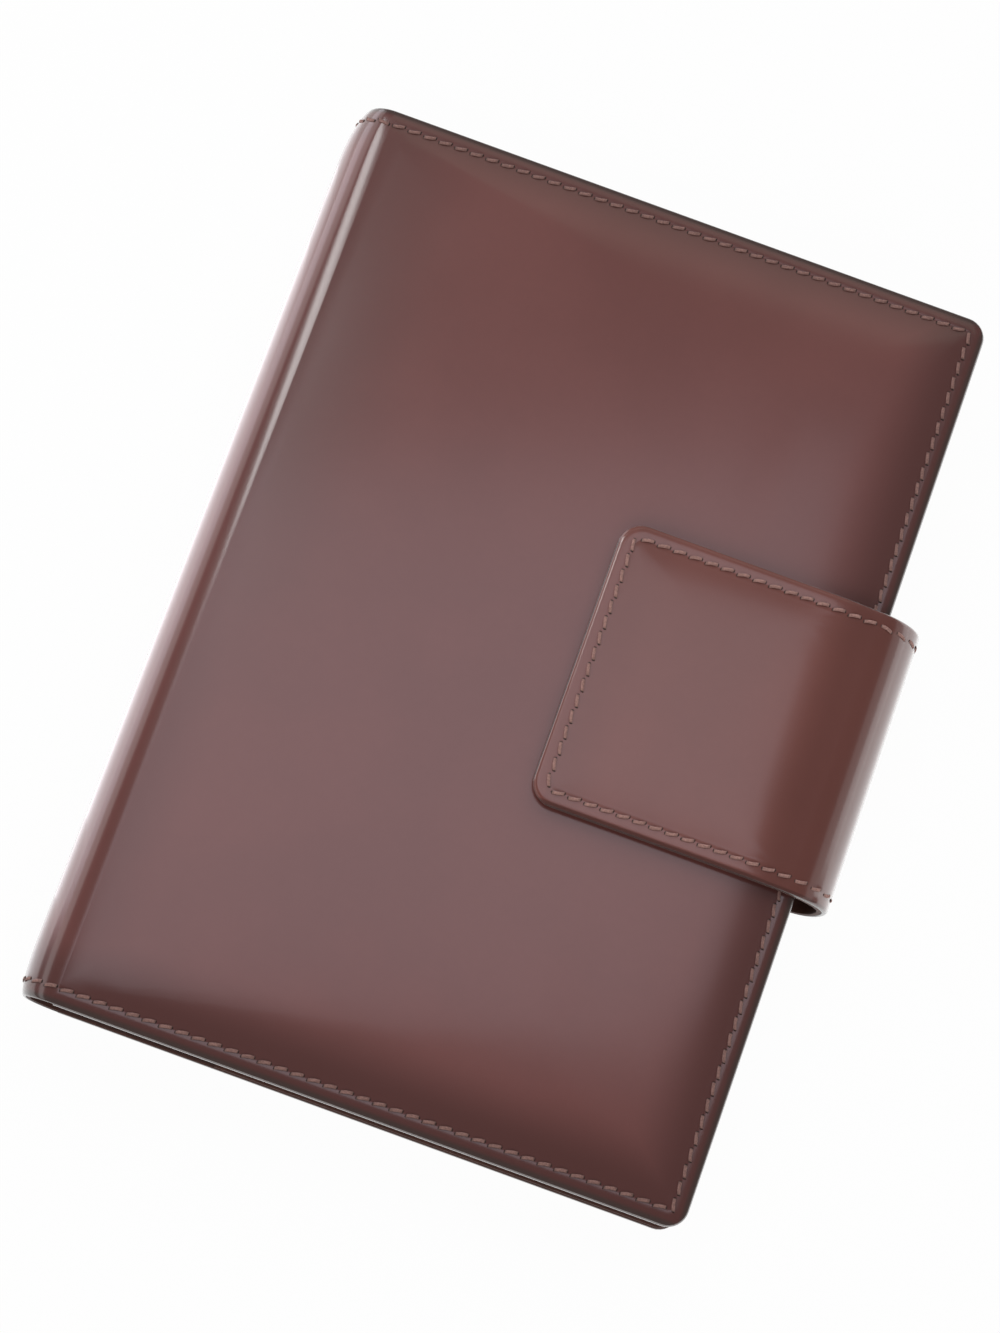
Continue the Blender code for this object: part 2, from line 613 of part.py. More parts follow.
# Rivets: each holds the rail down through the lining, with its foot let into the board
head_low = RAIL_TOP_Z + SNAP_GAP
head_top = head_low + RIVET_HEAD_HEIGHT
for name, place in zip(("rail_rivet_top", "rail_rivet_bottom"), rivet_places):
    rivet = lathe(name, [
        (0, head_top), (RIVET_HEAD - RIVET_HEAD_HEIGHT, head_top),
        (RIVET_HEAD, head_top - RIVET_HEAD_HEIGHT / 2), (RIVET_HEAD, head_low), (RIVET_SHANK, head_low),
        (RIVET_SHANK, BACK_BOARD_Z + BOARD - SNAP_GAP), (RIVET_FOOT, BACK_BOARD_Z + BOARD - SNAP_GAP),
        (RIVET_FOOT, BACK_BOARD_Z + SNAP_GAP), (0, BACK_BOARD_Z + SNAP_GAP),
    ], place[0], place[1])
    finish(rivet, STEEL, 0.25, 1.0)
cut(back_board, round_holes(
    "foot_holes", rivet_places, RIVET_FOOT + RIVET_CLEARANCE, BACK_BOARD_Z - BOARD, BACK_BOARD_Z + 2 * BOARD
))
cut(back_lining, round_holes(
    "lining_rivet_holes", rivet_places, rivet_room, BACK_LINING_Z - LINING, BACK_LINING_Z + 2 * LINING
))

# Blades: two steel strips inside the rail, each hinged on its outer edge, that carry the ring halves
blade_room = round_holes(
    "blade_notches", rivet_places, RIVET_SHANK + BLADE_NOTCH_CLEARANCE, 0, RAIL_TOP_Z + RAIL_HEIGHT
)
for name, side, axis in (("left_blade", -1, LEFT_AXIS), ("right_blade", 1, RIGHT_AXIS)):
    across = Vector((-side * cos(BLADE_DROOP), -sin(BLADE_DROOP))) * BLADE_WIDTH
    up = Vector((-side * sin(BLADE_DROOP), cos(BLADE_DROOP))) * (BLADE_SHEET / 2)
    edge = Vector((axis.x, axis.z))
    section = [tuple(edge - up), tuple(edge + across - up), tuple(edge + across + up), tuple(edge + up)]
    blade = slab(name, section, -BLADE_HALF_LENGTH, BLADE_HALF_LENGTH, "along_y")
    finish(blade, STEEL, 0.3, 1.0, axis=axis)
    cut(blade, blade_room)


# Ring halves: round wire from a blade, out through the rail, up and over to the middle of the ring
def ring_half(name, side, y, axis):
    """Half of one ring: an arc of round wire with flat ends."""
    curve = bpy.data.curves.new(name, "CURVE")
    curve.dimensions = "3D"
    curve.bevel_depth = RING_WIRE
    curve.bevel_resolution = 2
    curve.use_fill_caps = True
    spline = curve.splines.new("POLY")
    last = pi - asin(RING_TIP_GAP / 2 / RING_RADIUS)
    count = 14
    spline.points.add(count)
    for i, point in enumerate(spline.points):
        a = RING_FOOT + (last - RING_FOOT) * i / count
        point.co = (RING_X + side * RING_RADIUS * sin(a), y, RING_Z - RING_RADIUS * cos(a), 1)
    drawn = bpy.data.objects.new(name, curve)
    mesh = bpy.data.meshes.new_from_object(drawn)
    bpy.data.objects.remove(drawn)
    tidy(mesh)
    smooth(mesh)
    half = bpy.data.objects.new(name, mesh)
    return finish(half, STEEL, 0.2, 1.0, axis=axis)


for number, y in enumerate(ring_ys, 1):
    ring_half(f"left_ring_{number}", -1, y, LEFT_AXIS)
    ring_half(f"right_ring_{number}", 1, y, RIGHT_AXIS)

# Levers: a thumb lever at each end of the rail, on a pin through the rail's sides
neck = LEVER_FROM_END
thumb_low = LEVER_THUMB - LEVER_BOSS
lever_side = [
    (-LEVER_TAIL, -LEVER_BOSS * 0.75), (-LEVER_BOSS, -LEVER_BOSS), (LEVER_BOSS, -LEVER_BOSS),
    (neck, -LEVER_BOSS * 0.75), (neck + 0.44 * (LEVER_REACH - neck), 0.18 * LEVER_THUMB),
    (neck + 0.69 * (LEVER_REACH - neck), 0.63 * LEVER_THUMB), (LEVER_REACH, thumb_low),
    (LEVER_REACH, LEVER_THUMB), (neck + 0.62 * (LEVER_REACH - neck), 0.88 * LEVER_THUMB),
    (neck + 0.4 * (LEVER_REACH - neck), 0.46 * LEVER_THUMB), (neck, LEVER_BOSS), (LEVER_BOSS, LEVER_BOSS),
    (-LEVER_BOSS, LEVER_BOSS), (-LEVER_TAIL, LEVER_BOSS / 3),
]
pin_half = RAIL_HALF_WIDTH - RAIL_SLOPE * (LEVER_HEIGHT - RAIL_SIDE) / (RAIL_HEIGHT - RAIL_SIDE)
for end, side in (("top", 1), ("bottom", -1)):
    axis = Vector((RING_X, side * LEVER_Y, LEVER_Z))
    outline = [(side * (LEVER_Y + y), LEVER_Z + w) for y, w in lever_side]
    lever = slab(f"lever_{end}", outline, RING_X - LEVER_HALF_WIDTH, RING_X + LEVER_HALF_WIDTH, "along_x")
    finish(lever, STEEL, 0.25, 1.0, axis=axis)
    cut(lever, round_holes(
        f"lever_bore_{end}", [tuple(axis)], PIN_RADIUS + PIN_CLEARANCE,
        -RAIL_HALF_WIDTH, RAIL_HALF_WIDTH, "X", 24, axis,
    ))
    work = bmesh.new()
    bmesh.ops.create_cone(
        work, cap_ends=True, segments=24, radius1=PIN_RADIUS, radius2=PIN_RADIUS, depth=2 * pin_half,
        matrix=Matrix.Translation(axis) @ Matrix.Rotation(pi / 2, 4, "Y"),
    )
    pin_mesh = bpy.data.meshes.new(f"lever_pin_{end}")
    work.to_mesh(pin_mesh)
    work.free()
    smooth(pin_mesh)
    finish(bpy.data.objects.new(pin_mesh.name, pin_mesh), STEEL, 0.3, 1.0)

# Leaves and dividers: stacked on the rings, sloping down to the back pocket, with round holes for the wire
page_holes = [(RING_X + PAGE_HOLE_FROM_RING, y, 0) for y in ring_ys]
page_plan = rounded(
    PAGE_X, PAGE_X + PAGE_WIDTH, -PAGE_HEIGHT / 2, PAGE_HEIGHT / 2, PAGE_CORNER, PAGE_CORNER
)
hole_cutter = round_holes(
    "page_holes", page_holes, PAGE_HOLE_RADIUS, RING_Z - 2 * HALF_STACK, RING_Z + 2 * HALF_STACK,
    steps=20, axis=PAGE_AXIS,
)
hole_cutter.rotation_euler.y = PAGE_SLOPE


def divider_plan(middle):
    """Outline of a divider: a page with an index tab that stands out of its fore edge."""
    right = PAGE_X + PAGE_WIDTH
    low = middle - DIVIDER_TAB_LENGTH / 2
    high = middle + DIVIDER_TAB_LENGTH / 2
    quarter = len(page_plan) // 4
    tab = [
        (right, low), (right + DIVIDER_TAB, low + DIVIDER_TAB / 3),
        (right + DIVIDER_TAB, high - DIVIDER_TAB / 3), (right, high),
    ]
    return page_plan[:quarter] + tab + page_plan[quarter:]


BUFF = (0.62, 0.48, 0.34)
divider_low = LEAF_GAP / 2
leaves_low = divider_low + DIVIDER + LEAF_GAP
for name, plan, low, thick, colour in (
    ("back_leaves", page_plan, -leaves_low - LEAVES, LEAVES, PAPER),
    ("back_divider", divider_plan(-DIVIDER_TAB_MIDDLE), -divider_low - DIVIDER, DIVIDER, BUFF),
    ("front_divider", divider_plan(DIVIDER_TAB_MIDDLE), divider_low, DIVIDER, BUFF),
    ("front_leaves", page_plan, leaves_low, LEAVES, PAPER),
):
    leaves = slab(name, plan, RING_Z + low, RING_Z + low + thick)
    finish(leaves, colour, 0.8, axis=PAGE_AXIS)
    leaves.rotation_euler.y = PAGE_SLOPE
    cut(leaves, hole_cutter)

print("axes in mm:")
for label, axis in (
    ("cover", COVER_AXIS), ("pages", PAGE_AXIS), ("left rings", LEFT_AXIS), ("right rings", RIGHT_AXIS),
    ("strap swing", SWING_AXIS), ("strap tab", TAB_AXIS), ("lever", (RING_X, LEVER_Y, LEVER_Z)),
):
    print(label, [round(c / MM, 3) for c in axis])
print("edge top", round(EDGE_TOP / MM, 3), "cover top", round(COVER_TOP / MM, 3), "tab", round(TAB_Z / MM, 3))
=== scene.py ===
import json
from math import cos, exp, pi, radians, sin

import bmesh
import bpy
from mathutils import Matrix, Vector


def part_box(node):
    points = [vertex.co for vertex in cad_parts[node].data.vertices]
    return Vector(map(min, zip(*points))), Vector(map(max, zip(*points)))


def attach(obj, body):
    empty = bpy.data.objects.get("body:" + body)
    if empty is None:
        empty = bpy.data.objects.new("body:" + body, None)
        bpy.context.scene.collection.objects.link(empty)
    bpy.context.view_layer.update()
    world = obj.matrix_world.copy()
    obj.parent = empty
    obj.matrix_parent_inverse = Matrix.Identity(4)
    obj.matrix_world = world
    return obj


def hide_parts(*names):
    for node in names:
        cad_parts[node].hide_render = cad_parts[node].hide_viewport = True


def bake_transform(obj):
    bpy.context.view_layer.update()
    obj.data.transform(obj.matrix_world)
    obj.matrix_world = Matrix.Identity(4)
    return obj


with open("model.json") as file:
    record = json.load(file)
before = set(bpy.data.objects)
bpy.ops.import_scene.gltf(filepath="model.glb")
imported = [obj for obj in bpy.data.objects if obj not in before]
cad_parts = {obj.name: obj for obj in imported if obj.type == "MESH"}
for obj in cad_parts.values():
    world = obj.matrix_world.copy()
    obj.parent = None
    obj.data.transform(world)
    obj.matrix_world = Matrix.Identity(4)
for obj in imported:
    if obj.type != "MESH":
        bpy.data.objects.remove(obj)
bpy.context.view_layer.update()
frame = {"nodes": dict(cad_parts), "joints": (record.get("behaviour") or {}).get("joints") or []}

# Back cover's outer leather: one panel of smooth polished calf that lies on the table.
# Its three free edges are rolled down and painted, its colour is darker along them, and a seam runs 3 mm in
# from them.
MM = 0.001
back_low, back_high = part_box("back_leather")
FOLD_GAP = 0.15
FOLD_X = back_low.x / MM - FOLD_GAP
FORE_X = back_high.x / MM
HALF_HEIGHT = back_high.y / MM
COVER_LENGTH = FORE_X - FOLD_X
COVER_CORNER = 4.0
SEAM_IN = 3.0
RIM = (
    (0.0, -0.62), (0.08, -0.46), (0.25, -0.33), (0.6, -0.22), (1.2, -0.12), (1.9, -0.05), (2.4, -0.04),
    (2.75, -0.06), (3.0, -0.07), (3.25, -0.06), (3.55, -0.02), (3.9, 0.0),
)
RIM_END = RIM[-1][0]


class Flow:
    """A socket in a material. Arithmetic on it adds Math nodes, and add puts in any other node."""

    def __init__(self, tree, socket):
        self.tree = tree
        self.socket = socket

    def add(self, kind, settings, sockets, out=0):
        node = self.tree.nodes.new(kind)
        for name, value in settings.items():
            setattr(node, name, value)
        for name, value in sockets.items():
            if isinstance(value, Flow):
                self.tree.links.new(value.socket, node.inputs[name])
            else:
                node.inputs[name].default_value = value
        return Flow(self.tree, node.outputs[out])

    def math(self, operation, one, other=0.0):
        return self.add("ShaderNodeMath", {"operation": operation}, {0: one, 1: other})

    def __add__(self, other):
        return self.math("ADD", self, other)

    __radd__ = __add__

    def __sub__(self, other):
        return self.math("SUBTRACT", self, other)

    def __rsub__(self, other):
        return self.math("SUBTRACT", other, self)

    def __mul__(self, other):
        return self.math("MULTIPLY", self, other)

    __rmul__ = __mul__

    def __abs__(self):
        return self.math("ABSOLUTE", self)

    def to(self, shader, name):
        self.tree.links.new(self.socket, shader.inputs[name])


def new_finish(name, **values):
    """A material, its shader with values that hold all over, and the place on the piece."""
    made = bpy.data.materials.new(name)
    made.use_nodes = True
    tree = made.node_tree
    shader = tree.nodes["Principled BSDF"]
    for socket, value in values.items():
        shader.inputs[socket.replace("_", " ")].default_value = value
    return made, shader, Flow(tree, tree.nodes.new("ShaderNodeTexCoord").outputs["Object"])


def coordinates(place):
    """The place's x, y and z."""
    split = place.add("ShaderNodeSeparateXYZ", {}, {0: place})
    node = split.socket.node
    return [Flow(place.tree, node.outputs[i]) for i in range(3)]


def ease(value, low, high, start=0.0, end=1.0):
    """A smooth step from start to end as a value goes from low to high."""
    return value.add(
        "ShaderNodeMapRange", {"interpolation_type": "SMOOTHSTEP"},
        {"Value": value, "From Min": low, "From Max": high, "To Min": start, "To Max": end},
    )


def noise(place, size, detail=2.0, rough=0.5):
    """Soft blotches about size metres across, from 0 to 1."""
    return place.add(
        "ShaderNodeTexNoise", {}, {"Vector": place, "Scale": 1 / size, "Detail": detail, "Roughness": rough},
    )


def mixed(share, one, other):
    """One colour turning into another."""
    return share.add("ShaderNodeMix", {"data_type": "RGBA"}, {0: share, 6: one, 7: other}, 2)


def shade(colour, factor):
    """A colour made darker or lighter."""
    return tuple(c * factor for c in colour[:3]) + (1.0,)


def bumps(place, height, depth, normal=None, strength=1.0):
    """A surface normal from a height map that is depth metres deep."""
    sockets = {"Height": height, "Distance": depth, "Strength": strength}
    if normal:
        sockets["Normal"] = normal
    return place.add("ShaderNodeBump", {}, sockets)


EDGE_DYE = (0.062, 0.036, 0.031, 1)


def polished_leather(name, colour, edge_distance, dark_and_painted_shade, rubbed):
    """Smooth polished calf: cloudy dye, fine pores, soft hollows, dyed edges, and darker bands that are
    partly painted shade.
    """
    made, shader, place = new_finish(
        name, Roughness=0.26, IOR=1.5, Coat_Weight=1.0, Coat_IOR=1.6, Coat_Roughness=0.13, Sheen_Weight=0.5,
        Sheen_Roughness=0.35,
    )
    x, y, _ = coordinates(place)
    cloud = noise(place, 0.03, 3.0)
    speck = noise(place, 0.0016, 2.0, 0.5)
    base_tone = mixed(ease(cloud, 0.3, 0.7), shade(colour, 0.95), shade(colour, 1.05))
    base_tone = mixed(speck * 0.12, base_tone, shade(colour, 0.6))
    # Darken by the mask; on the strap and by the cover's fold this is painted shade.
    base_tone = mixed(dark_and_painted_shade(x, y), base_tone, shade(colour, 0.5))
    edge = edge_distance(x, y)
    base_tone = mixed(ease(edge, rubbed, 0.3 * rubbed), base_tone, EDGE_DYE)
    base_tone.to(shader, "Base Color")
    (0.2 + 0.05 * cloud + 0.03 * speck).to(shader, "Roughness")
    grain = bumps(place, speck, 0.00002, strength=0.25)
    bumps(place, noise(place, 0.014, 1.5), 0.00012, grain, 0.15).to(shader, "Normal")
    return made


def cover_edge(x, y):
    """Distance in from the cover's three free edges, in metres."""
    return x.math("MINIMUM", FORE_X * MM - x, HALF_HEIGHT * MM - abs(y))


def cover_darkening_and_shade(x, y):
    """How much darker the cover is: most along its fore edge and lower end, less at its top; along its fold
    and towards the fold's upper corner this is painted shade.
    """
    fore = ease(x, (FORE_X - 17) * MM, (FORE_X - 4) * MM)
    lower = ease(y, (17 - HALF_HEIGHT) * MM, (5 - HALF_HEIGHT) * MM)
    top = ease(y, (HALF_HEIGHT - 10) * MM, (HALF_HEIGHT - 2) * MM, 0.0, 0.65)
    # Painted shade along the fold and towards its upper corner.
    fold = ease(x, (FOLD_X + 12) * MM, (FOLD_X + 1) * MM, 0.0, 0.35)
    corner = ease(x, (FOLD_X + 26) * MM, (FOLD_X + 2) * MM, 0.0, 0.6) * ease(y, -45 * MM, 25 * MM)
    off_spine = ease(x, (FOLD_X - 5) * MM, (FOLD_X - 1) * MM)
    fold = x.math("MAXIMUM", fold, corner) * off_spine
    darkest = x.math("MAXIMUM", x.math("MAXIMUM", fore, lower), x.math("MAXIMUM", top, fold))
    return darkest * 0.85


COVER_BROWN = (0.179, 0.0605, 0.0535)
cover_leather = polished_leather("cover_leather", COVER_BROWN, cover_edge, cover_darkening_and_shade, 0.0016)


def arc(cx, cy, radius, start, steps=8):
    """A quarter of a circle, anticlockwise."""
    turns = [radians(start + 90 * i / steps) for i in range(steps + 1)]
    return [(cx + radius * cos(a), cy + radius * sin(a)) for a in turns]


def lerp(one, other, share):
    """A point between two points."""
    return tuple(a + (b - a) * share for a, b in zip(one, other))


CORNER_ROOM = 0.45
LEAST_CORNER = 1.0
ROUNDER_FROM = 4.0
ROUNDER = 0.7
FOLD_CORNER = 1.5
FOLD_ROUNDER = 0.5
FOLD_POINTS = 6
FOLD_STEP = 1.2
SIDE_STEPS = 12


def panel_line(length, half, corner, inset, fold_inset=0.0):
    """Line round a panel, from its fold along one side, its far end and the other side, back to the fold.

    Its corners get tighter as it is set in past the rim, and then rounder over the crown.
    """
    u = length - inset
    v = half - inset
    room = CORNER_ROOM * (u - fold_inset)
    radius = min(max(corner - inset, LEAST_CORNER) + ROUNDER * max(inset - ROUNDER_FROM, 0.0), room)
    near = min(FOLD_CORNER + FOLD_ROUNDER * fold_inset, room)
    if fold_inset:
        low = arc(fold_inset + near, near - v, near, 180, FOLD_POINTS - 1)
        high = arc(fold_inset + near, v - near, near, 90, FOLD_POINTS - 1)
    else:
        low = [(FOLD_STEP * i, -v) for i in range(FOLD_POINTS)]
        high = [(FOLD_STEP * i, v) for i in reversed(range(FOLD_POINTS))]
    corners = [arc(u - radius, radius - v, radius, -90), arc(u - radius, v - radius, radius, 0)]
    near_side = [lerp(low[-1], corners[0][0], i / SIDE_STEPS) for i in range(1, SIDE_STEPS)]
    far_side = [lerp(corners[1][-1], high[0], i / SIDE_STEPS) for i in range(1, SIDE_STEPS)]
    return low + near_side + corners[0] + corners[1] + far_side + high


CROWN_STEPS = (0.04, 0.1, 0.18, 0.27, 0.38, 0.52, 0.72, 1.0)
UNDER_ROUND = 0.12


def panel_skin(
    length, half, corner, face, way, thick, crown=0.0, soft=8.0, spread=3.5, reach=24.0, fade=0.0, rim=RIM,
):
    """Points and faces of a leather panel with a rolled rim on three sides of its outer face.

    Its crown rises in a soft curve from the rim, and dies out towards the fold where it fades.
    """
    steps = [reach * s for s in CROWN_STEPS] if crown else []
    rise = {c: crown * (1 - exp(-c / soft)) for c in steps}
    rows = []
    for c in reversed(steps):
        rows.append((panel_line(length, half, corner, RIM_END + c, spread * c), face + way * rise[c], True))
    for d, drop in reversed(rim):
        rows.append((panel_line(length, half, corner, d), face + way * drop, False))
    rows.append((panel_line(length, half, corner, 0.0), face - way * (thick - UNDER_ROUND), False))
    rows.append((panel_line(length, half, corner, UNDER_ROUND), face - way * thick, False))
    rows.append((panel_line(length, half, corner, RIM_END), face - way * thick, False))
    for c in steps[2::2]:
        height = face - way * (thick - rise[c])
        rows.append((panel_line(length, half, corner, RIM_END + c, spread * c), height, True))
    count = len(rows[0][0])
    points = [(u, v, height) for line, height, _ in rows for u, v in line]
    if fade:
        outer = (len(steps) + len(rim)) * count
        level = [face if i < outer else face - way * thick for i in range(len(points))]
        share = [min(u / fade, 1.0) for u, _, _ in points]
        share = [t * t * (3 - 2 * t) for t in share]
        inner = [closed for _, _, closed in rows for _ in rows[0][0]]
        points = [
            (u, v, base + t * (z - base)) if crowned else (u, v, z)
            for (u, v, z), base, t, crowned in zip(points, level, share, inner)
        ]
    faces = []
    for i in range(len(rows) - 1):
        a = i * count
        b = a + count
        faces += [(a + j, b + j, b + j + 1, a + j + 1) for j in range(count - 1)]
        if rows[i][2] or rows[i + 1][2]:
            faces.append((a + count - 1, b + count - 1, b, a))
    faces.append(range(count))
    faces.append(range(len(points) - count, len(points)))
    at_fold = [i * count for i, row in enumerate(rows) if not row[2]]
    faces.append(at_fold + [i + count - 1 for i in reversed(at_fold)])
    return points, faces


def piece(name, shape, finish, body=None, stands_for=(), angle=40):
    """A mesh from points in mm, shaded smooth between its sharp edges."""
    points, faces = shape
    mesh = bpy.data.meshes.new(name)
    mesh.from_pydata([Vector(p) * MM for p in points], [], faces)
    work = bmesh.new()
    work.from_mesh(mesh)
    bmesh.ops.remove_doubles(work, verts=work.verts, dist=1e-8)
    bmesh.ops.recalc_face_normals(work, faces=work.faces)
    work.to_mesh(mesh)
    work.free()
    mesh.materials.append(finish)
    mesh.shade_smooth()
    mesh.set_sharp_from_angle(angle=radians(angle))
    thing = bpy.data.objects.new(name, mesh)
    bpy.context.scene.collection.objects.link(thing)
    if stands_for:
        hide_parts(*stands_for)
    if body:
        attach(thing, body)
    return thing


def from_fold(shape):
    """A cover panel's points moved from its own fold to the cover's."""
    points, faces = shape
    return [(FOLD_X + u, v, z) for u, v, z in points], faces


BACK_FACE = back_low.z / MM
LEATHER = (back_high.z - back_low.z) / MM
piece(
    "back_skin", from_fold(panel_skin(COVER_LENGTH, HALF_HEIGHT, COVER_CORNER, BACK_FACE, -1, LEATHER)),
    cover_leather, "back_cover", ["back_leather"],
)

# Board: a stiff grey fibre board glued under the leather of each cover.
# Only its edge could ever show, so it keeps its own solid with a pulpy, flecked finish.
fibre_board, shader, place = new_finish("fibre_board", Roughness=0.85)
flecks = noise(place, 0.0008, 5.0, 0.7)
mixed(ease(flecks, 0.3, 0.7), (0.27, 0.22, 0.17, 1), (0.42, 0.36, 0.29, 1)).to(shader, "Base Color")
bumps(place, flecks, 0.00005).to(shader, "Normal")
for name in ("back_board", "front_board"):
    frame["nodes"][name].data.materials.clear()
    frame["nodes"][name].data.materials.append(fibre_board)


# Linings and pockets: thinner matt leather sewn to the inside of each cover.
# Each pocket panel is open at its mouth, towards the rings, and sewn down on its other three sides.
def lining_leather(name, colour):
    """Matt lining leather with a pebbled grain."""
    made, shader, place = new_finish(name, Roughness=0.55, IOR=1.45)
    cloud = noise(place, 0.02, 3.0)
    cells = place.add("ShaderNodeTexVoronoi", {}, {"Vector": place, "Scale": 1300.0})
    base_tone = mixed(ease(cloud, 0.3, 0.7), shade(colour, 0.85), shade(colour, 1.12))
    mixed(ease(cells, 0.25, 0.65) * 0.45, base_tone, shade(colour, 0.6)).to(shader, "Base Color")
    (0.5 + 0.15 * cloud).to(shader, "Roughness")
    bumps(place, cells, 0.00006, strength=0.6).to(shader, "Normal")
    return made


inside_leather = lining_leather("inside_leather", (0.105, 0.045, 0.034))


def heights(node):
    """Lowest and highest point of a solid, in mm."""
    low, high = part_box(node)
    return low.z / MM, high.z / MM


def flat_skin(line, low, high, soft=0.2):
    """Points and faces of a flat sheet with rounded edges, from a function that gives its outline set in."""
    rows = [(soft * 3, high), (soft, high), (soft * 0.3, high - soft * 0.3), (0, high - soft)]
    rows += [(0, low + soft), (soft * 0.3, low + soft * 0.3), (soft, low)]
    lines = [[(x, y, z) for x, y in line(inset)] for inset, z in rows]
    return swept(lines)


def swept(rows):
    """Points and faces of a closed form through loops of points, with a face at each end."""
    count = len(rows[0])
    faces = []
    for a in range(0, (len(rows) - 1) * count, count):
        b = a + count
        faces += [(a + j, b + j, b + (j + 1) % count, a + (j + 1) % count) for j in range(count)]
    faces += [range(count), range((len(rows) - 1) * count, len(rows) * count)]
    return [p for row in rows for p in row], faces


LINING_IN = 0.05


def lining_line(inset):
    """Outline of a cover's lining."""
    line = panel_line(COVER_LENGTH - inset, HALF_HEIGHT - LINING_IN, COVER_CORNER, inset)
    return [(FOLD_X + FOLD_GAP + inset + u, v) for u, v in line]


MOUTH_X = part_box("back_pocket")[0].x / MM
POCKET_IN = 0.2


def pocket_line(inset):
    """Outline of a pocket panel, whose mouth is towards the rings."""
    reach = FORE_X - POCKET_IN - MOUTH_X
    line = panel_line(reach - inset, HALF_HEIGHT - POCKET_IN, COVER_CORNER - POCKET_IN, inset)
    return [(MOUTH_X + inset + u, v) for u, v in line]


for side in ("back", "front"):
    body = side + "_cover"
    piece(
        side + "_inside", flat_skin(lining_line, *heights(side + "_lining")), inside_leather,
        body, [side + "_lining"],
    )
    piece(
        side + "_pocket_panel", flat_skin(pocket_line, *heights(side + "_pocket")), inside_leather,
        body, [side + "_pocket"],
    )

# Spine: the cover's leather carried round from fold to fold in a soft half-round, lined on its inside.
# The real spine bends as the cover opens; here it is fixed as it lies.
EDGE_TOP = heights("spine_leather")[1]
SPINE_DEPTH = FOLD_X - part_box("spine_leather")[0].x / MM
END_ROUND = 14.0
TOP_END_DROP = 1.7
LOWER_END_DROP = 0.9


def spine_row(depth, half, turn, stations):
    """Loop of points across the spine at one turn of its curve, from (y, offset) stations."""
    x = FOLD_X - depth * sin(turn)
    z = EDGE_TOP / 2 - half * cos(turn)
    out = Vector((-sin(turn) / depth, 0, -cos(turn) / half)).normalized()
    row = []
    for y, off in stations:
        past = max(0.0, abs(y) - HALF_HEIGHT + END_ROUND) / END_ROUND
        off -= (TOP_END_DROP if y > 0 else LOWER_END_DROP) * sin(turn) ** 2 * past ** 3
        row.append((x + out.x * off, y, z + out.z * off))
    return row


FROM_END = (2.0, 5.0, 8.0, 11.0, 14.0, 20.0)


def across(half, thick, middle=0.0, rim=RIM):
    """Stations across a strip: its rolled and seamed outer face, then its plain inner face."""
    outer = [(middle - half + d, drop) for d, drop in rim]
    outer += [(middle + half - d, drop) for d, drop in reversed(rim)]
    inner = [(half, UNDER_ROUND - thick)] + [(half - d, -thick) for d in (UNDER_ROUND, *FROM_END)]
    inner += [(-y, off) for y, off in reversed(inner)]
    return outer + [(middle + y, off) for y, off in inner]


SPINE_STEPS = 40
TURNS = [pi * i / SPINE_STEPS for i in range(SPINE_STEPS + 1)]
PLAIN_RIM = ((0.0, -0.2), (0.06, -0.06), (0.2, 0.0), *((d, 0.0) for d in FROM_END))
SPINE_RIM = (
    *RIM[:6], (3.0, -0.04), (3.9, -0.02), *((d, 0.0) for d in (5.0, 6.5, 8.0, 10.0, 12.0, 14.0, 20.0)),
)
spine_skin = piece(
    "spine_skin",
    swept([
        spine_row(SPINE_DEPTH, EDGE_TOP / 2, a, across(HALF_HEIGHT, LEATHER, rim=SPINE_RIM)) for a in TURNS
    ]),
    cover_leather, stands_for=["spine_leather"],
)
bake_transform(spine_skin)
lining_low, lining_high = heights("spine_lining")
lining_half = EDGE_TOP / 2 - lining_low
lining_depth = FOLD_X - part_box("spine_lining")[0].x / MM
LINING_THICK = 0.6
LINING_SHORT = 0.1
lining_across = across(HALF_HEIGHT - LINING_SHORT, LINING_THICK, rim=PLAIN_RIM)
spine_inside = piece(
    "spine_inside", swept([spine_row(lining_depth, lining_half, a, lining_across) for a in TURNS]),
    inside_leather, stands_for=["spine_lining"],
)
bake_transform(spine_inside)

# Ring mechanism: a folded steel rail riveted to the back cover, with two blades that carry the rings.
# All of it is pressed or drawn steel with bright nickel plate, a little dulled where it is handled.
# The strap's press stud has the same plate.
nickel, shader, place = new_finish("nickel", Metallic=1.0, Roughness=0.2)
smear = noise(place, 0.004, 4.0)
mixed(smear, (0.60, 0.58, 0.55, 1), (0.74, 0.72, 0.68, 1)).to(shader, "Base Color")
ease(smear, 0.3, 0.75, 0.13, 0.26).to(shader, "Roughness")
bumps(place, noise(place, 0.0006, 3.0), 0.000004).to(shader, "Normal")
for name in (
    "ring_rail", "rail_rivet_top", "rail_rivet_bottom", "left_blade", "right_blade",
    "lever_top", "lever_bottom", "lever_pin_top", "lever_pin_bottom",
    "snap_stud", "snap_post", "snap_socket", "snap_cap",
):
    frame["nodes"][name].data.materials.clear()
    frame["nodes"][name].data.materials.append(nickel)

joints = {joint["name"]: joint for joint in frame["joints"]}
RING_X, _, RING_Z = (c / MM for c in joints["page_turn"]["pos_m"])
RING_RADIUS = 5.0
RING_WIRE = 0.9
RING_FOOT = radians(38)
RING_TIP = radians(178.85)
RING_STEPS = 30
WIRE_SIDES = 14


def ring_half(side, y):
    """Points and faces of half a ring: round wire from its foot on a blade to the middle of the ring."""
    rows = []
    for i in range(RING_STEPS + 1):
        turn = RING_FOOT + (RING_TIP - RING_FOOT) * i / RING_STEPS
        out = Vector((side * sin(turn), 0, -cos(turn)))
        middle = Vector((RING_X, y, RING_Z)) + out * RING_RADIUS
        rows.append([
            middle + RING_WIRE * (cos(a) * out + sin(a) * Vector((0, 1, 0)))
            for a in (2 * pi * k / WIRE_SIDES for k in range(WIRE_SIDES))
        ])
    return swept(rows)


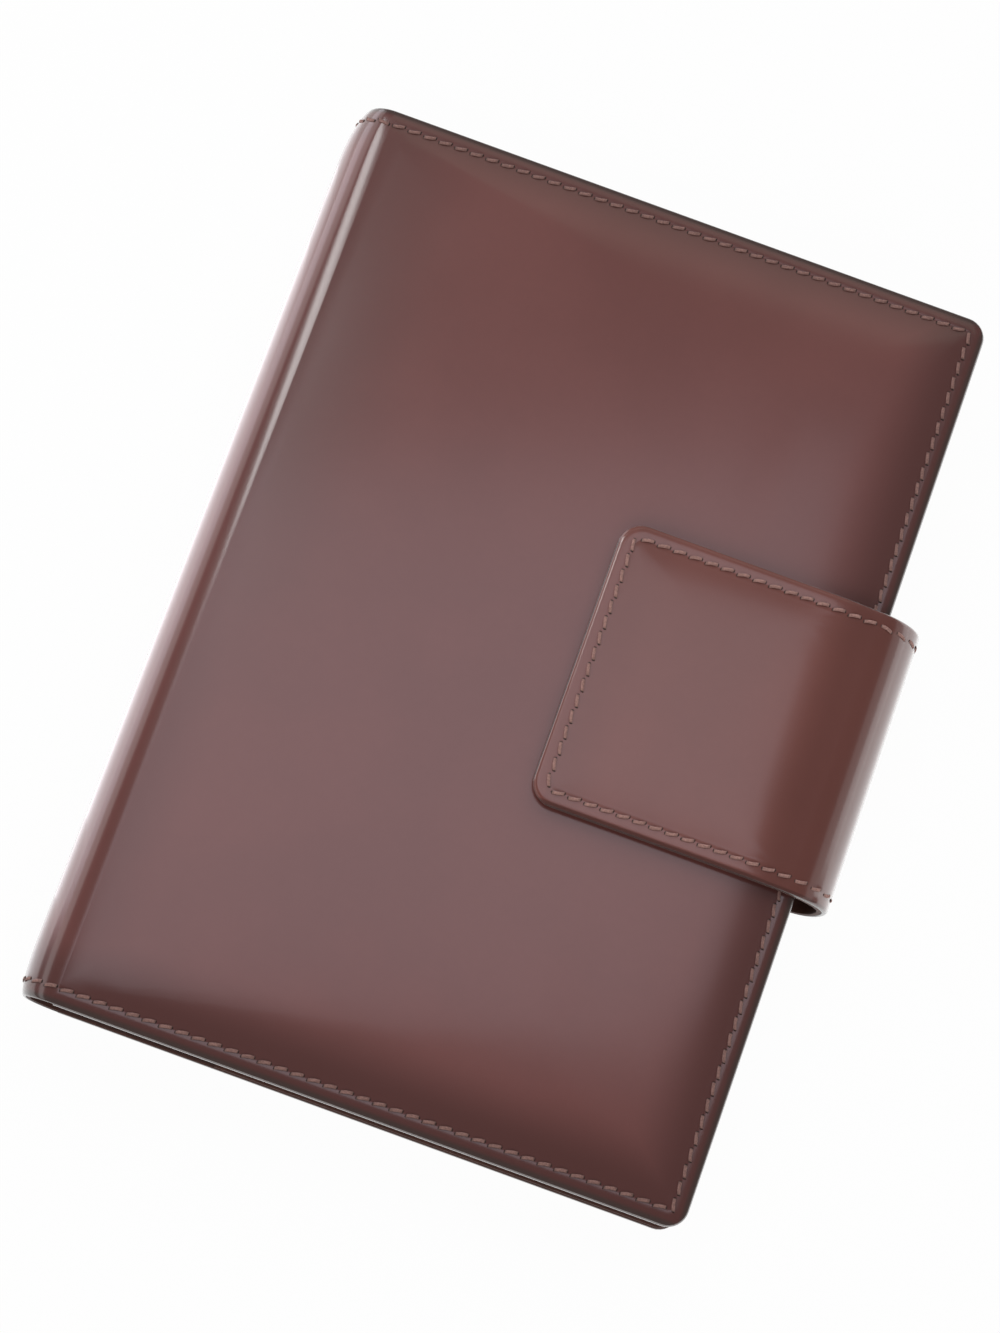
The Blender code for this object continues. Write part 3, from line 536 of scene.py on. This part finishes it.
for side, sign in (("left", -1), ("right", 1)):
    for number in range(1, 7):
        node = f"{side}_ring_{number}"
        low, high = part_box(node)
        piece(
            node + "_wire", ring_half(sign, (low.y + high.y) / 2 / MM), nickel,
            side + "_rings", [node],
        )

# Leaves and dividers: blocks of cream paper and buff card, punched for the rings.
# The blocks keep their solids, with ruled faces and the fine lines of single leaves along their edges.
paper, shader, place = new_finish("paper", Roughness=0.8)
x, y, z = coordinates(place)
LEAF_LEAN = 0.0332
LEAVES_PER_METRE = 9000.0
LINES_PER_METRE = 1 / 0.007
leaf = place.add(
    "ShaderNodeTexNoise", {"noise_dimensions": "1D"},
    {"W": (z + LEAF_LEAN * x) * LEAVES_PER_METRE, "Scale": 1.0, "Detail": 2.0},
)
rule = ease(abs(y.math("FRACT", y * LINES_PER_METRE) - 0.5), 0.018, 0.008)
tint = mixed(ease(leaf, 0.35, 0.65), (0.66, 0.62, 0.52, 1), (0.86, 0.83, 0.74, 1))
normal = place.tree.nodes.new("ShaderNodeNewGeometry").outputs["Normal"]
facing = abs(coordinates(Flow(place.tree, normal))[2])
sheet = mixed(rule * 0.5, (0.84, 0.81, 0.73, 1), (0.55, 0.56, 0.58, 1))
mixed(ease(facing, 0.5, 0.8), tint, sheet).to(shader, "Base Color")
bumps(place, noise(place, 0.0005, 3.0), 0.00001).to(shader, "Normal")
buff_card, shader, place = new_finish("buff_card", Roughness=0.7)
fibre = noise(place, 0.0007, 4.0, 0.65)
mixed(ease(fibre, 0.3, 0.7), (0.50, 0.37, 0.25, 1), (0.62, 0.48, 0.34, 1)).to(shader, "Base Color")
bumps(place, fibre, 0.00002).to(shader, "Normal")
for name, made in (
    ("back_leaves", paper), ("front_leaves", paper), ("back_divider", buff_card), ("front_divider", buff_card)
):
    frame["nodes"][name].data.materials.clear()
    frame["nodes"][name].data.materials.append(made)

# Wadding: a thin pad of soft white fibre that gives the front cover its low crown.
# It is cut smaller than the board, feathered at its edges and glued between the board and the leather.
wadding, shader, place = new_finish("wadding", Roughness=0.95)
tuft = noise(place, 0.0015, 5.0, 0.7)
mixed(tuft, (0.62, 0.60, 0.55, 1), (0.82, 0.80, 0.75, 1)).to(shader, "Base Color")
bumps(place, tuft, 0.0002).to(shader, "Normal")
pad_low, pad_high = heights("front_pad")
pad_rise = pad_high - pad_low
PAD_IN = 10.0
PAD_CORNER = 3.0
PAD_FOLD_IN = 0.5
PAD_PROFILE = (
    (18, pad_high), (12, pad_low + 0.93 * pad_rise), (7, pad_low + 0.78 * pad_rise),
    (3, pad_low + 0.55 * pad_rise), (0.6, pad_low + 0.3 * pad_rise), (0, pad_low + 0.1), (0.6, pad_low),
)


def pad_loop(inset, height):
    """Loop round the wadding at one height."""
    line = panel_line(COVER_LENGTH - 2 * PAD_IN, HALF_HEIGHT - PAD_IN, PAD_CORNER, inset, inset + PAD_FOLD_IN)
    return [(FOLD_X + PAD_IN + u, v, height) for u, v in line]


pad = piece(
    "front_wadding", swept([pad_loop(inset, height) for inset, height in PAD_PROFILE]),
    wadding, "front_cover", ["front_pad"],
)

# Front cover's outer leather: the same smooth polished calf as the back, drawn over the wadding.
# It is low along the seams that hold it down on three sides, and crowned inside them.
CROWN = heights("front_leather")[1] - EDGE_TOP
front_skin = piece(
    "front_skin", from_fold(panel_skin(COVER_LENGTH, HALF_HEIGHT, COVER_CORNER, EDGE_TOP, 1, LEATHER, CROWN)),
    cover_leather, "front_cover", ["front_leather"],
)

# Painted edges: dark edge paint on the cut edges of each cover, where its layers are stacked.
# It is laid on in thin coats along the three free edges, over the lip of the lining, and polished.
edge_paint, shader, place = new_finish("edge_paint", Roughness=0.22, Coat_Weight=1.0, Coat_Roughness=0.1)
streak = noise(place, 0.002, 3.0)
mixed(streak, (0.05, 0.022, 0.018, 1), (0.085, 0.038, 0.03, 1)).to(shader, "Base Color")
bumps(place, streak, 0.00006).to(shader, "Normal")


def painted_edge(outer, inner, way, bulge=0.16, lip=0.8):
    """Points and faces of a bead of paint along a cover's three free edges and over its lining's edge."""
    deep = inner - outer
    section = [
        (0.0, outer), (0.6 * bulge, outer + way * 0.12),
        (bulge, outer + 0.35 * deep), (bulge, outer + 0.6 * deep),
        (0.8 * bulge, inner - way * 0.4), (0.3 * bulge, inner - way * 0.2),
        (-0.25 * lip, inner - way * 0.04), (-0.6 * lip, inner + way * 0.03),
        (-lip, inner + way * 0.03), (-lip, inner - way * 0.2),
    ]
    lines = []
    for out, z in section:
        line = panel_line(COVER_LENGTH, HALF_HEIGHT, COVER_CORNER, -out)
        lines.append([(FOLD_X + u, v, z) for u, v in line])
    return swept(list(zip(*lines)))


PAINT_FROM_FACE = 0.75
piece(
    "back_edge", painted_edge(PAINT_FROM_FACE, heights("back_lining")[1], 1), edge_paint,
    "back_cover",
)
piece(
    "front_edge", painted_edge(EDGE_TOP - PAINT_FROM_FACE, heights("front_lining")[0], -1), edge_paint,
    "front_cover",
)

# Strap: redder polished calf sewn to a matt lining, let into the back cover's fore edge.
# It bends up round the fore edge in a soft loop and its square tab lies over the front cover.
tab_low, tab_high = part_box("strap_tab_leather")
STRAP_MIDDLE = (tab_low.y + tab_high.y) / 2 / MM
STRAP_HALF_WIDTH = (tab_high.y - tab_low.y) / 2 / MM
TAB_FREE_X = tab_low.x / MM
TAB_TOP = tab_high.z / MM
TAB_UNDER = heights("strap_tab_lining")[0]
STRAP_LAYER = TAB_TOP - tab_low.z / MM
STRAP_HALF = (TAB_TOP - TAB_UNDER) / 2
TAB_CORNER = 5.0
LOOP_INSET = 2.0
ANCHOR_OUT = 0.6
ANCHOR_Z = 1.4
LOOP_END = Vector((FORE_X - LOOP_INSET, 0, (TAB_TOP + TAB_UNDER) / 2))
LOOP_START = Vector((FORE_X + ANCHOR_OUT, 0, ANCHOR_Z))
LOOP_OUT_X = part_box("strap_bend")[1].x / MM - STRAP_HALF
LOOP_MID_Z = (LOOP_START.z + LOOP_END.z) / 2
STRAP_RIM = (
    (0.0, -0.72), (0.05, -0.5), (0.15, -0.3), (0.3, -0.15), (0.5, -0.06), (0.8, -0.015), (1.5, 0.0),
    (2.3, -0.01), (2.7, -0.04), (3.0, -0.06), (3.3, -0.04), (3.6, -0.01), (3.9, 0.0),
)
STRAP_BROWN = (0.200, 0.065, 0.052)
# Where the painted shade of the strap's turn down starts and is fullest, in mm.
TURN_DOWN_FROM = 53
TURN_DOWN_TO = 62


def strap_edge(x, y):
    """Distance in from the strap's two long edges and its free end, in metres."""
    sides = STRAP_HALF_WIDTH * MM - abs(y - STRAP_MIDDLE * MM)
    return x.math("MINIMUM", sides, x - TAB_FREE_X * MM)


def strap_painted_shade(x, y):
    """Painted shade on the strap: along its lower edge, by its free end and where it turns down."""
    from_low = y - (STRAP_MIDDLE - STRAP_HALF_WIDTH) * MM
    from_free_end = x - TAB_FREE_X * MM
    lower = ease(from_low, 1.1 * MM, 0.6 * MM)
    turn_down = ease(x, TURN_DOWN_FROM * MM, TURN_DOWN_TO * MM, 0.0, 0.5)
    inside_seam = ease(from_free_end, 2.8 * MM, 3.4 * MM)
    free_end = ease(from_free_end, 14 * MM, 4 * MM, 0.0, 0.2) * inside_seam
    return x.math("MAXIMUM", x.math("MAXIMUM", lower, turn_down), free_end)


# The strap's darker lower edge, free end and turn are painted shade.
strap_leather = polished_leather("strap_leather", STRAP_BROWN, strap_edge, strap_painted_shade, 0.0003)
frame["nodes"]["strap_anchor"].data.materials.clear()
frame["nodes"]["strap_anchor"].data.materials.append(strap_leather)
DROOP = 1.0
DROOP_X = 55.5
DROOP_ON_TAB = 0.35


def droop(share):
    """How far the strap sinks as it turns down, from that turn's start at 0 to the loop's middle at 1."""
    return DROOP * sin(pi * share) ** 2


def tab_droop(x):
    """How far the tab sinks on its way to the loop."""
    return droop(DROOP_ON_TAB * max(0.0, (x - DROOP_X) / (LOOP_END.x - DROOP_X)))


def loop_frames(upper, steps=16):
    """Places on the strap's middle line and their outward normals, for one half of its loop."""
    end = LOOP_END if upper else LOOP_START
    reach = LOOP_OUT_X - end.x
    half = end.z - LOOP_MID_Z if upper else LOOP_MID_Z - end.z
    out = []
    for i in range(steps + 1):
        turn = pi / 2 * i / steps if upper else pi / 2 * i / steps - pi / 2
        place = Vector((end.x + reach * cos(turn), 0, LOOP_MID_Z + half * sin(turn)))
        if upper:
            along = 1 - i / steps
            place.z -= droop(DROOP_ON_TAB + (1 - DROOP_ON_TAB) * (0.6 * along + 0.4 * along * along))
        out.append((place, Vector((cos(turn) / reach, 0, sin(turn) / half)).normalized()))
    return out


def loop_skin(upper, face, way, thick, rim):
    """Points and faces of one layer of half the strap's loop, its outer face off the middle line by face."""
    rows = []
    for place, normal in loop_frames(upper):
        rows.append([
            (place.x + normal.x * (face + way * off), y, place.z + normal.z * (face + way * off))
            for y, off in across(STRAP_HALF_WIDTH, thick, STRAP_MIDDLE, rim)
        ])
    return swept(rows)


def bend_strap(thing, upper):
    """Bake half of the strap's loop where it stands."""
    if upper:
        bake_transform(thing)
    else:
        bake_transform(thing)


for upper, part in ((False, "lower"), (True, "upper")):
    outer = piece(
        f"strap_loop_{part}", loop_skin(upper, STRAP_HALF, 1, STRAP_LAYER, STRAP_RIM), strap_leather,
        stands_for=["strap_bend"],
    )
    bend_strap(outer, upper)
    inner = piece(
        f"strap_loop_inside_{part}", loop_skin(upper, -STRAP_HALF, -1, STRAP_LAYER, PLAIN_RIM),
        inside_leather, stands_for=["strap_bend_lining"],
    )
    bend_strap(inner, upper)


def from_loop(shape):
    """A tab panel's points moved from its own fold to the end of the loop, running back to the free end."""
    points, faces = shape
    moved = [(LOOP_END.x - u, STRAP_MIDDLE + v, z) for u, v, z in points]
    return [(x, y, z - tab_droop(x)) for x, y, z in moved], faces


TAB_LENGTH = LOOP_END.x - TAB_FREE_X
tab_skin = piece(
    "tab_skin",
    from_loop(panel_skin(
        TAB_LENGTH, STRAP_HALF_WIDTH, TAB_CORNER, TAB_TOP, 1, STRAP_LAYER,
        crown=0.36, soft=6.5, spread=2.0, reach=16.0, fade=16.0, rim=STRAP_RIM,
    )),
    strap_leather, "strap_tab", ["strap_tab_leather"],
)
piece(
    "tab_inside",
    from_loop(panel_skin(TAB_LENGTH, STRAP_HALF_WIDTH, TAB_CORNER, TAB_UNDER, -1, STRAP_LAYER)),
    inside_leather, "strap_tab", ["strap_tab_lining"],
)


# Stitching: waxed linen thread, saddle stitched at a slant through awl slits, 3.3 mm to a stitch.
# Each stitch lies in the seam's groove and dives into the leather at both ends.
def waxed_thread(name, colour):
    """Thread with the mottle of its twist, and painted shade of its awl hole where it enters the leather."""
    made, shader, place = new_finish(name, Roughness=0.75)
    hole_shade = place.add("ShaderNodeAttribute", {"attribute_name": "hole_shade"}, {}, 2)
    twist = noise(place, 0.00035, 2.0)
    strand = mixed(ease(twist, 0.3, 0.7), shade(colour, 0.78), shade(colour, 1.2))
    # Painted shade of the awl holes darkens the thread's ends.
    mixed(hole_shade, strand, (0.02, 0.009, 0.007, 1)).to(shader, "Base Color")
    bumps(place, twist, 0.00008).to(shader, "Normal")
    return made


cover_thread = waxed_thread("cover_thread", (0.255, 0.138, 0.118))
strap_thread = waxed_thread("strap_thread", (0.37, 0.203, 0.174))
PITCH = 3.3
# Each row: place along the stitch, lift off the seam, and how much painted shade of the awl hole darkens the
# thread.
STITCH = (
    (-1.06, -0.3, 1.0), (-0.97, -0.01, 1.0), (-0.88, 0.06, 0.8), (-0.77, 0.12, 0.15), (-0.4, 0.23, 0.0),
    (0.0, 0.26, 0.0), (0.4, 0.23, 0.0), (0.77, 0.12, 0.15), (0.88, 0.06, 0.8), (0.97, -0.01, 1.0),
    (1.06, -0.3, 1.0),
)
STITCH_HALF_LENGTH = 1.4
STITCH_SLANT = 0.28
STITCH_BOW = 0.14
THREAD_HALF_WIDTH = 0.36
THREAD_END_HALF_WIDTH = 0.27
THREAD_END = 0.9
THREAD_RISE = 0.17
THREAD_SIDES = 7


def stations(line, pitch=PITCH):
    """Evenly spaced places along a line of (place, up) points, with the way that it runs there."""
    lengths = [0.0]
    for (a, _), (b, _) in zip(line, line[1:]):
        lengths.append(lengths[-1] + (b - a).length)
    count = max(1, round(lengths[-1] / pitch))
    out = []
    at = 0
    for i in range(count):
        want = lengths[-1] * (i + 0.5) / count
        while lengths[at + 1] < want:
            at += 1
        share = (want - lengths[at]) / (lengths[at + 1] - lengths[at])
        (a, up_a), (b, up_b) = line[at], line[at + 1]
        out.append((a.lerp(b, share), (b - a).normalized(), up_a.lerp(up_b, share).normalized()))
    return out


def stitching(name, line, body=None, slant=1, thread=cover_thread):
    """A row of stitches along a line of (place, up) points."""
    points = []
    faces = []
    hole_shades = []
    for middle, along, up in stations(line):
        side = along.cross(up) * slant
        rows = []
        for s, lift, depth in STITCH:
            aside = s * STITCH_SLANT + STITCH_BOW * (1 - s * s)
            centre = middle + along * (s * STITCH_HALF_LENGTH) + side * aside + up * lift
            wide = THREAD_HALF_WIDTH if abs(s) < THREAD_END else THREAD_END_HALF_WIDTH
            rows.append([
                centre + side * (wide * cos(a)) + up * (THREAD_RISE * sin(a))
                for a in (2 * pi * k / THREAD_SIDES for k in range(THREAD_SIDES))
            ])
            hole_shades += [depth] * THREAD_SIDES
        shape = swept(rows)
        faces += [[len(points) + i for i in face] for face in shape[1]]
        points += shape[0]
    mesh = bpy.data.meshes.new(name)
    mesh.from_pydata([p * MM for p in points], [], faces)
    mesh.attributes.new("hole_shade", "FLOAT", "POINT").data.foreach_set("value", hole_shades)
    mesh.materials.append(thread)
    mesh.shade_smooth()
    thing = bpy.data.objects.new(name, mesh)
    bpy.context.scene.collection.objects.link(thing)
    if body:
        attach(thing, body)
    return thing


UP = Vector((0, 0, 1))
GROOVE = -0.07
SUNK = 0.44
INSIDE_SINK = 0.25
MOUTH_GAP = 0.4
HEM_IN = 2.5
HEM_END = 6.0
cover_seam = [(FOLD_X + u, v) for u, v in panel_line(COVER_LENGTH, HALF_HEIGHT, COVER_CORNER, SEAM_IN)]
seam = [(Vector((x, y, EDGE_TOP + GROOVE)), UP) for x, y in cover_seam]
stitching("front_stitching", seam, "front_cover", -1)
seam = [(Vector((x, y, BACK_FACE + SUNK)), -UP) for x, y in cover_seam]
stitching("back_stitching", seam, "back_cover", 1)
for side, up, inner in (("front", -UP, 0), ("back", UP, 1)):
    on_lining = heights(side + "_lining")[inner] - up.z * INSIDE_SINK
    on_pocket = heights(side + "_pocket")[inner] - up.z * INSIDE_SINK
    low = [(x, y) for x, y in cover_seam if x < MOUTH_X and y < 0]
    low.append((MOUTH_X - MOUTH_GAP, SEAM_IN - HALF_HEIGHT))
    high = [(x, -y) for x, y in low]
    round_pocket = [(MOUTH_X + MOUTH_GAP, SEAM_IN - HALF_HEIGHT)]
    round_pocket += [(x, y) for x, y in cover_seam if x > MOUTH_X]
    round_pocket.append((MOUTH_X + MOUTH_GAP, HALF_HEIGHT - SEAM_IN))
    hem = [(MOUTH_X + HEM_IN, y) for y in (HEM_END - HALF_HEIGHT, HALF_HEIGHT - HEM_END)]
    for part, line, height in (
        ("lower_lining", low, on_lining), ("upper_lining", high, on_lining),
        ("pocket", round_pocket, on_pocket), ("pocket_hem", hem, on_pocket),
    ):
        seam = [(Vector((x, y, height)), up) for x, y in line]
        stitching(f"{side}_{part}_stitching", seam, side + "_cover", -1 if up.z > 0 else 1)

SPINE_SINK = 0.1
for end in (-1, 1):
    seam = []
    for a in TURNS:
        off = GROOVE - SPINE_SINK - (SUNK + GROOVE - SPINE_SINK) * max(0.0, cos(a)) ** 4
        x, y, z = spine_row(SPINE_DEPTH, EDGE_TOP / 2, a, [(end * (HALF_HEIGHT - SEAM_IN), off)])[0]
        up = Vector((-sin(a) / SPINE_DEPTH, 0, -cos(a) / (EDGE_TOP / 2))).normalized()
        seam.append((Vector((x, y, z)), up))
    row = stitching("spine_stitching_" + ("top" if end > 0 else "bottom"), seam, slant=end)
    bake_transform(row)

LOOP_SINK = 0.15
tab_line = panel_line(TAB_LENGTH, STRAP_HALF_WIDTH, TAB_CORNER, SEAM_IN)
tab_seam, _ = from_loop(([(u, v, TAB_TOP + GROOVE) for u, v in tab_line], []))
stitching("tab_stitching", [(Vector(p), UP) for p in tab_seam], "strap_tab", -1, strap_thread)
for upper, part in ((False, "lower"), (True, "upper")):
    for end in (-1, 1):
        y = STRAP_MIDDLE + end * (STRAP_HALF_WIDTH - SEAM_IN)
        seam = []
        for place, normal in loop_frames(upper):
            at = place + normal * (STRAP_HALF + GROOVE - LOOP_SINK)
            seam.append((Vector((at.x, y, at.z)), normal))
        name = f"loop_stitching_{part}_" + ("top" if end > 0 else "bottom")
        row = stitching(name, seam, slant=end, thread=strap_thread)
        bend_strap(row, upper)

# Floor: a plain white table top, matt and wide, that the planner lies on.
# The camera and the reflections see it white, with a trace of shadow for the camera.
FLOOR_HALF = 6
FLOOR_Z = -0.0003
FLOOR_WHITE = 0.97
floor_mesh = bpy.data.meshes.new("floor")
floor_corners = [(x * FLOOR_HALF, y * FLOOR_HALF, FLOOR_Z) for x, y in ((-1, -1), (1, -1), (1, 1), (-1, 1))]
floor_mesh.from_pydata(floor_corners, [], [(0, 1, 2, 3)])
floor = bpy.data.objects.new("floor", floor_mesh)
bpy.context.scene.collection.objects.link(floor)
white_top, shader, _ = new_finish("white_top", Roughness=0.9, Specular_IOR_Level=0.0)
shader.inputs["Base Color"].default_value = (0.86, 0.86, 0.86, 1)
rays = white_top.node_tree.nodes.new("ShaderNodeLightPath")
seen = [Flow(white_top.node_tree, rays.outputs[name]) for name in (
    "Is Camera Ray", "Is Glossy Ray", "Is Transmission Ray",
)]
glow = white_top.node_tree.nodes.new("ShaderNodeEmission")
white_mix = white_top.node_tree.nodes.new("ShaderNodeMixShader")
(seen[0] * FLOOR_WHITE + seen[1] + seen[2]).to(white_mix, 0)
white_top.node_tree.links.new(shader.outputs[0], white_mix.inputs[1])
white_top.node_tree.links.new(glow.outputs[0], white_mix.inputs[2])
white_top.node_tree.links.new(white_mix.outputs[0], white_top.node_tree.nodes["Material Output"].inputs[0])
floor_mesh.materials.append(white_top)


# Light: soft boxes in a dim room. The overhead one makes the sheen on the cover, the far high one greys its
# top rim, and the upper left one makes the bright line on the spine's crease. Low ones and a lit table light
# the rounds, and two at the ends give plain light without a gleam.
def soft_box(name, place, size, glow, aim=None, turn=0.0, gleam=True, tint=(1, 1, 1)):
    """Soft box that faces a point, or straight down and turned by some degrees. The camera doesn't see it."""
    lamp = bpy.data.lights.new(name, "AREA")
    lamp.shape = "RECTANGLE"
    lamp.size = size[0]
    lamp.size_y = size[1]
    lamp.energy = glow * pi * size[0] * size[1]
    lamp.color = tint
    thing = bpy.data.objects.new(name, lamp)
    thing.location = place
    thing.rotation_euler = (0, 0, radians(turn))
    if aim:
        thing.rotation_euler = (Vector(place) - Vector(aim)).to_track_quat("Z", "Y").to_euler()
    thing.visible_camera = False
    thing.visible_glossy = gleam
    bpy.context.scene.collection.objects.link(thing)


soft_box("overhead", (-0.0653, 0.1911, 1.28), (0.66, 0.365), 0.85, turn=18, tint=(1.0, 0.96, 1.06))
soft_box("far_high", (0.0, 0.93, 1.28), (0.8, 0.55), 0.29, tint=(0.88, 1.0, 0.86))
soft_box("upper_left", (-0.68, 0.50, 1.1), (0.9, 0.17), 5.5, turn=-25)
soft_box("left_low", (-0.42, 0.255, 0.07), (0.6, 0.14), 2.0, aim=(0, 0.255, 0.07), tint=(1, 0.98, 1.05))
soft_box("left_high", (-0.42, 0.0, 0.22), (1.0, 0.16), 0.9, aim=(0, 0, 0.22))
TABLE_LOW, TABLE_HIGH, TABLE_STEP = -0.057, 0.070, 0.017
TABLE_X, TABLE_Z, TABLE_LIFT = -0.272, -0.0002, 0.00005
for number in range(3):
    low, high = TABLE_LOW - TABLE_STEP * number, TABLE_HIGH + TABLE_STEP * number
    place = (TABLE_X, (low + high) / 2, TABLE_Z + TABLE_LIFT * number)
    soft_box(
        f"table_left_{number + 1}", place, (0.4, high - low), 0.42,
        aim=(place[0], place[1], 1.0), tint=(1, 0.98, 1.05),
    )
soft_box("table_right", (0.28, 0.0, -0.0001), (0.4, 0.7), 0.45, aim=(0.28, 0.0, 1.0))
soft_box("right", (0.5, 0.3, 0.06), (0.5, 0.12), 1.4, aim=(0, 0.3, 0.06))
soft_box("right_high", (0.5, -0.05, 0.21), (0.9, 0.18), 0.4, aim=(0, -0.05, 0.21))
soft_box("far_end", (0, 1.1, 0.85), (1.8, 1.1), 1.6, aim=(0, 0, 0), gleam=False)
soft_box("near_end", (0, -1.1, 0.85), (1.8, 1.1), 1.6, aim=(0, 0, 0), gleam=False)
world = bpy.data.worlds.new("room")
world.use_nodes = True
dim = world.node_tree.nodes["Background"]
dim.inputs["Color"].default_value = (1, 1, 1, 1)
dim.inputs["Strength"].default_value = 0.1
backdrop = world.node_tree.nodes.new("ShaderNodeBackground")
backdrop.inputs["Color"].default_value = (1, 1, 1, 1)
backdrop.inputs["Strength"].default_value = 1.0
room = world.node_tree.nodes.new("ShaderNodeMixShader")
seen = world.node_tree.nodes.new("ShaderNodeLightPath")
world.node_tree.links.new(seen.outputs["Is Camera Ray"], room.inputs[0])
world.node_tree.links.new(dim.outputs[0], room.inputs[1])
world.node_tree.links.new(backdrop.outputs[0], room.inputs[2])
world.node_tree.links.new(room.outputs[0], world.node_tree.nodes["World Output"].inputs[0])
bpy.context.scene.world = world
bpy.context.scene.view_settings.view_transform = "Standard"

# Camera: a long lens above the planner and a little below its lower end, looking down on its front cover.
# It is turned so that the spine leans to the left, and its place and lens are matched to the photograph.
camera = bpy.data.objects.new("camera", bpy.data.cameras.new("camera"))
right = Vector((0.940109, 0.334311, 0.066571))
down = Vector((0.340842, -0.919200, -0.197225))
ahead = right.cross(down)
camera.matrix_world = Matrix((right, -down, -ahead)).transposed().to_4x4()
camera.location = (0.001606, -0.141461, 0.661032)
camera.data.sensor_fit = "VERTICAL"
SENSOR = 36.0
FOCAL_PIXELS, FRAME_PIXELS = 3392.1, 1333
camera.data.sensor_height = SENSOR
camera.data.lens = SENSOR * FOCAL_PIXELS / FRAME_PIXELS
camera.data.clip_start = 0.01
bpy.context.scene.collection.objects.link(camera)
bpy.context.scene.camera = camera
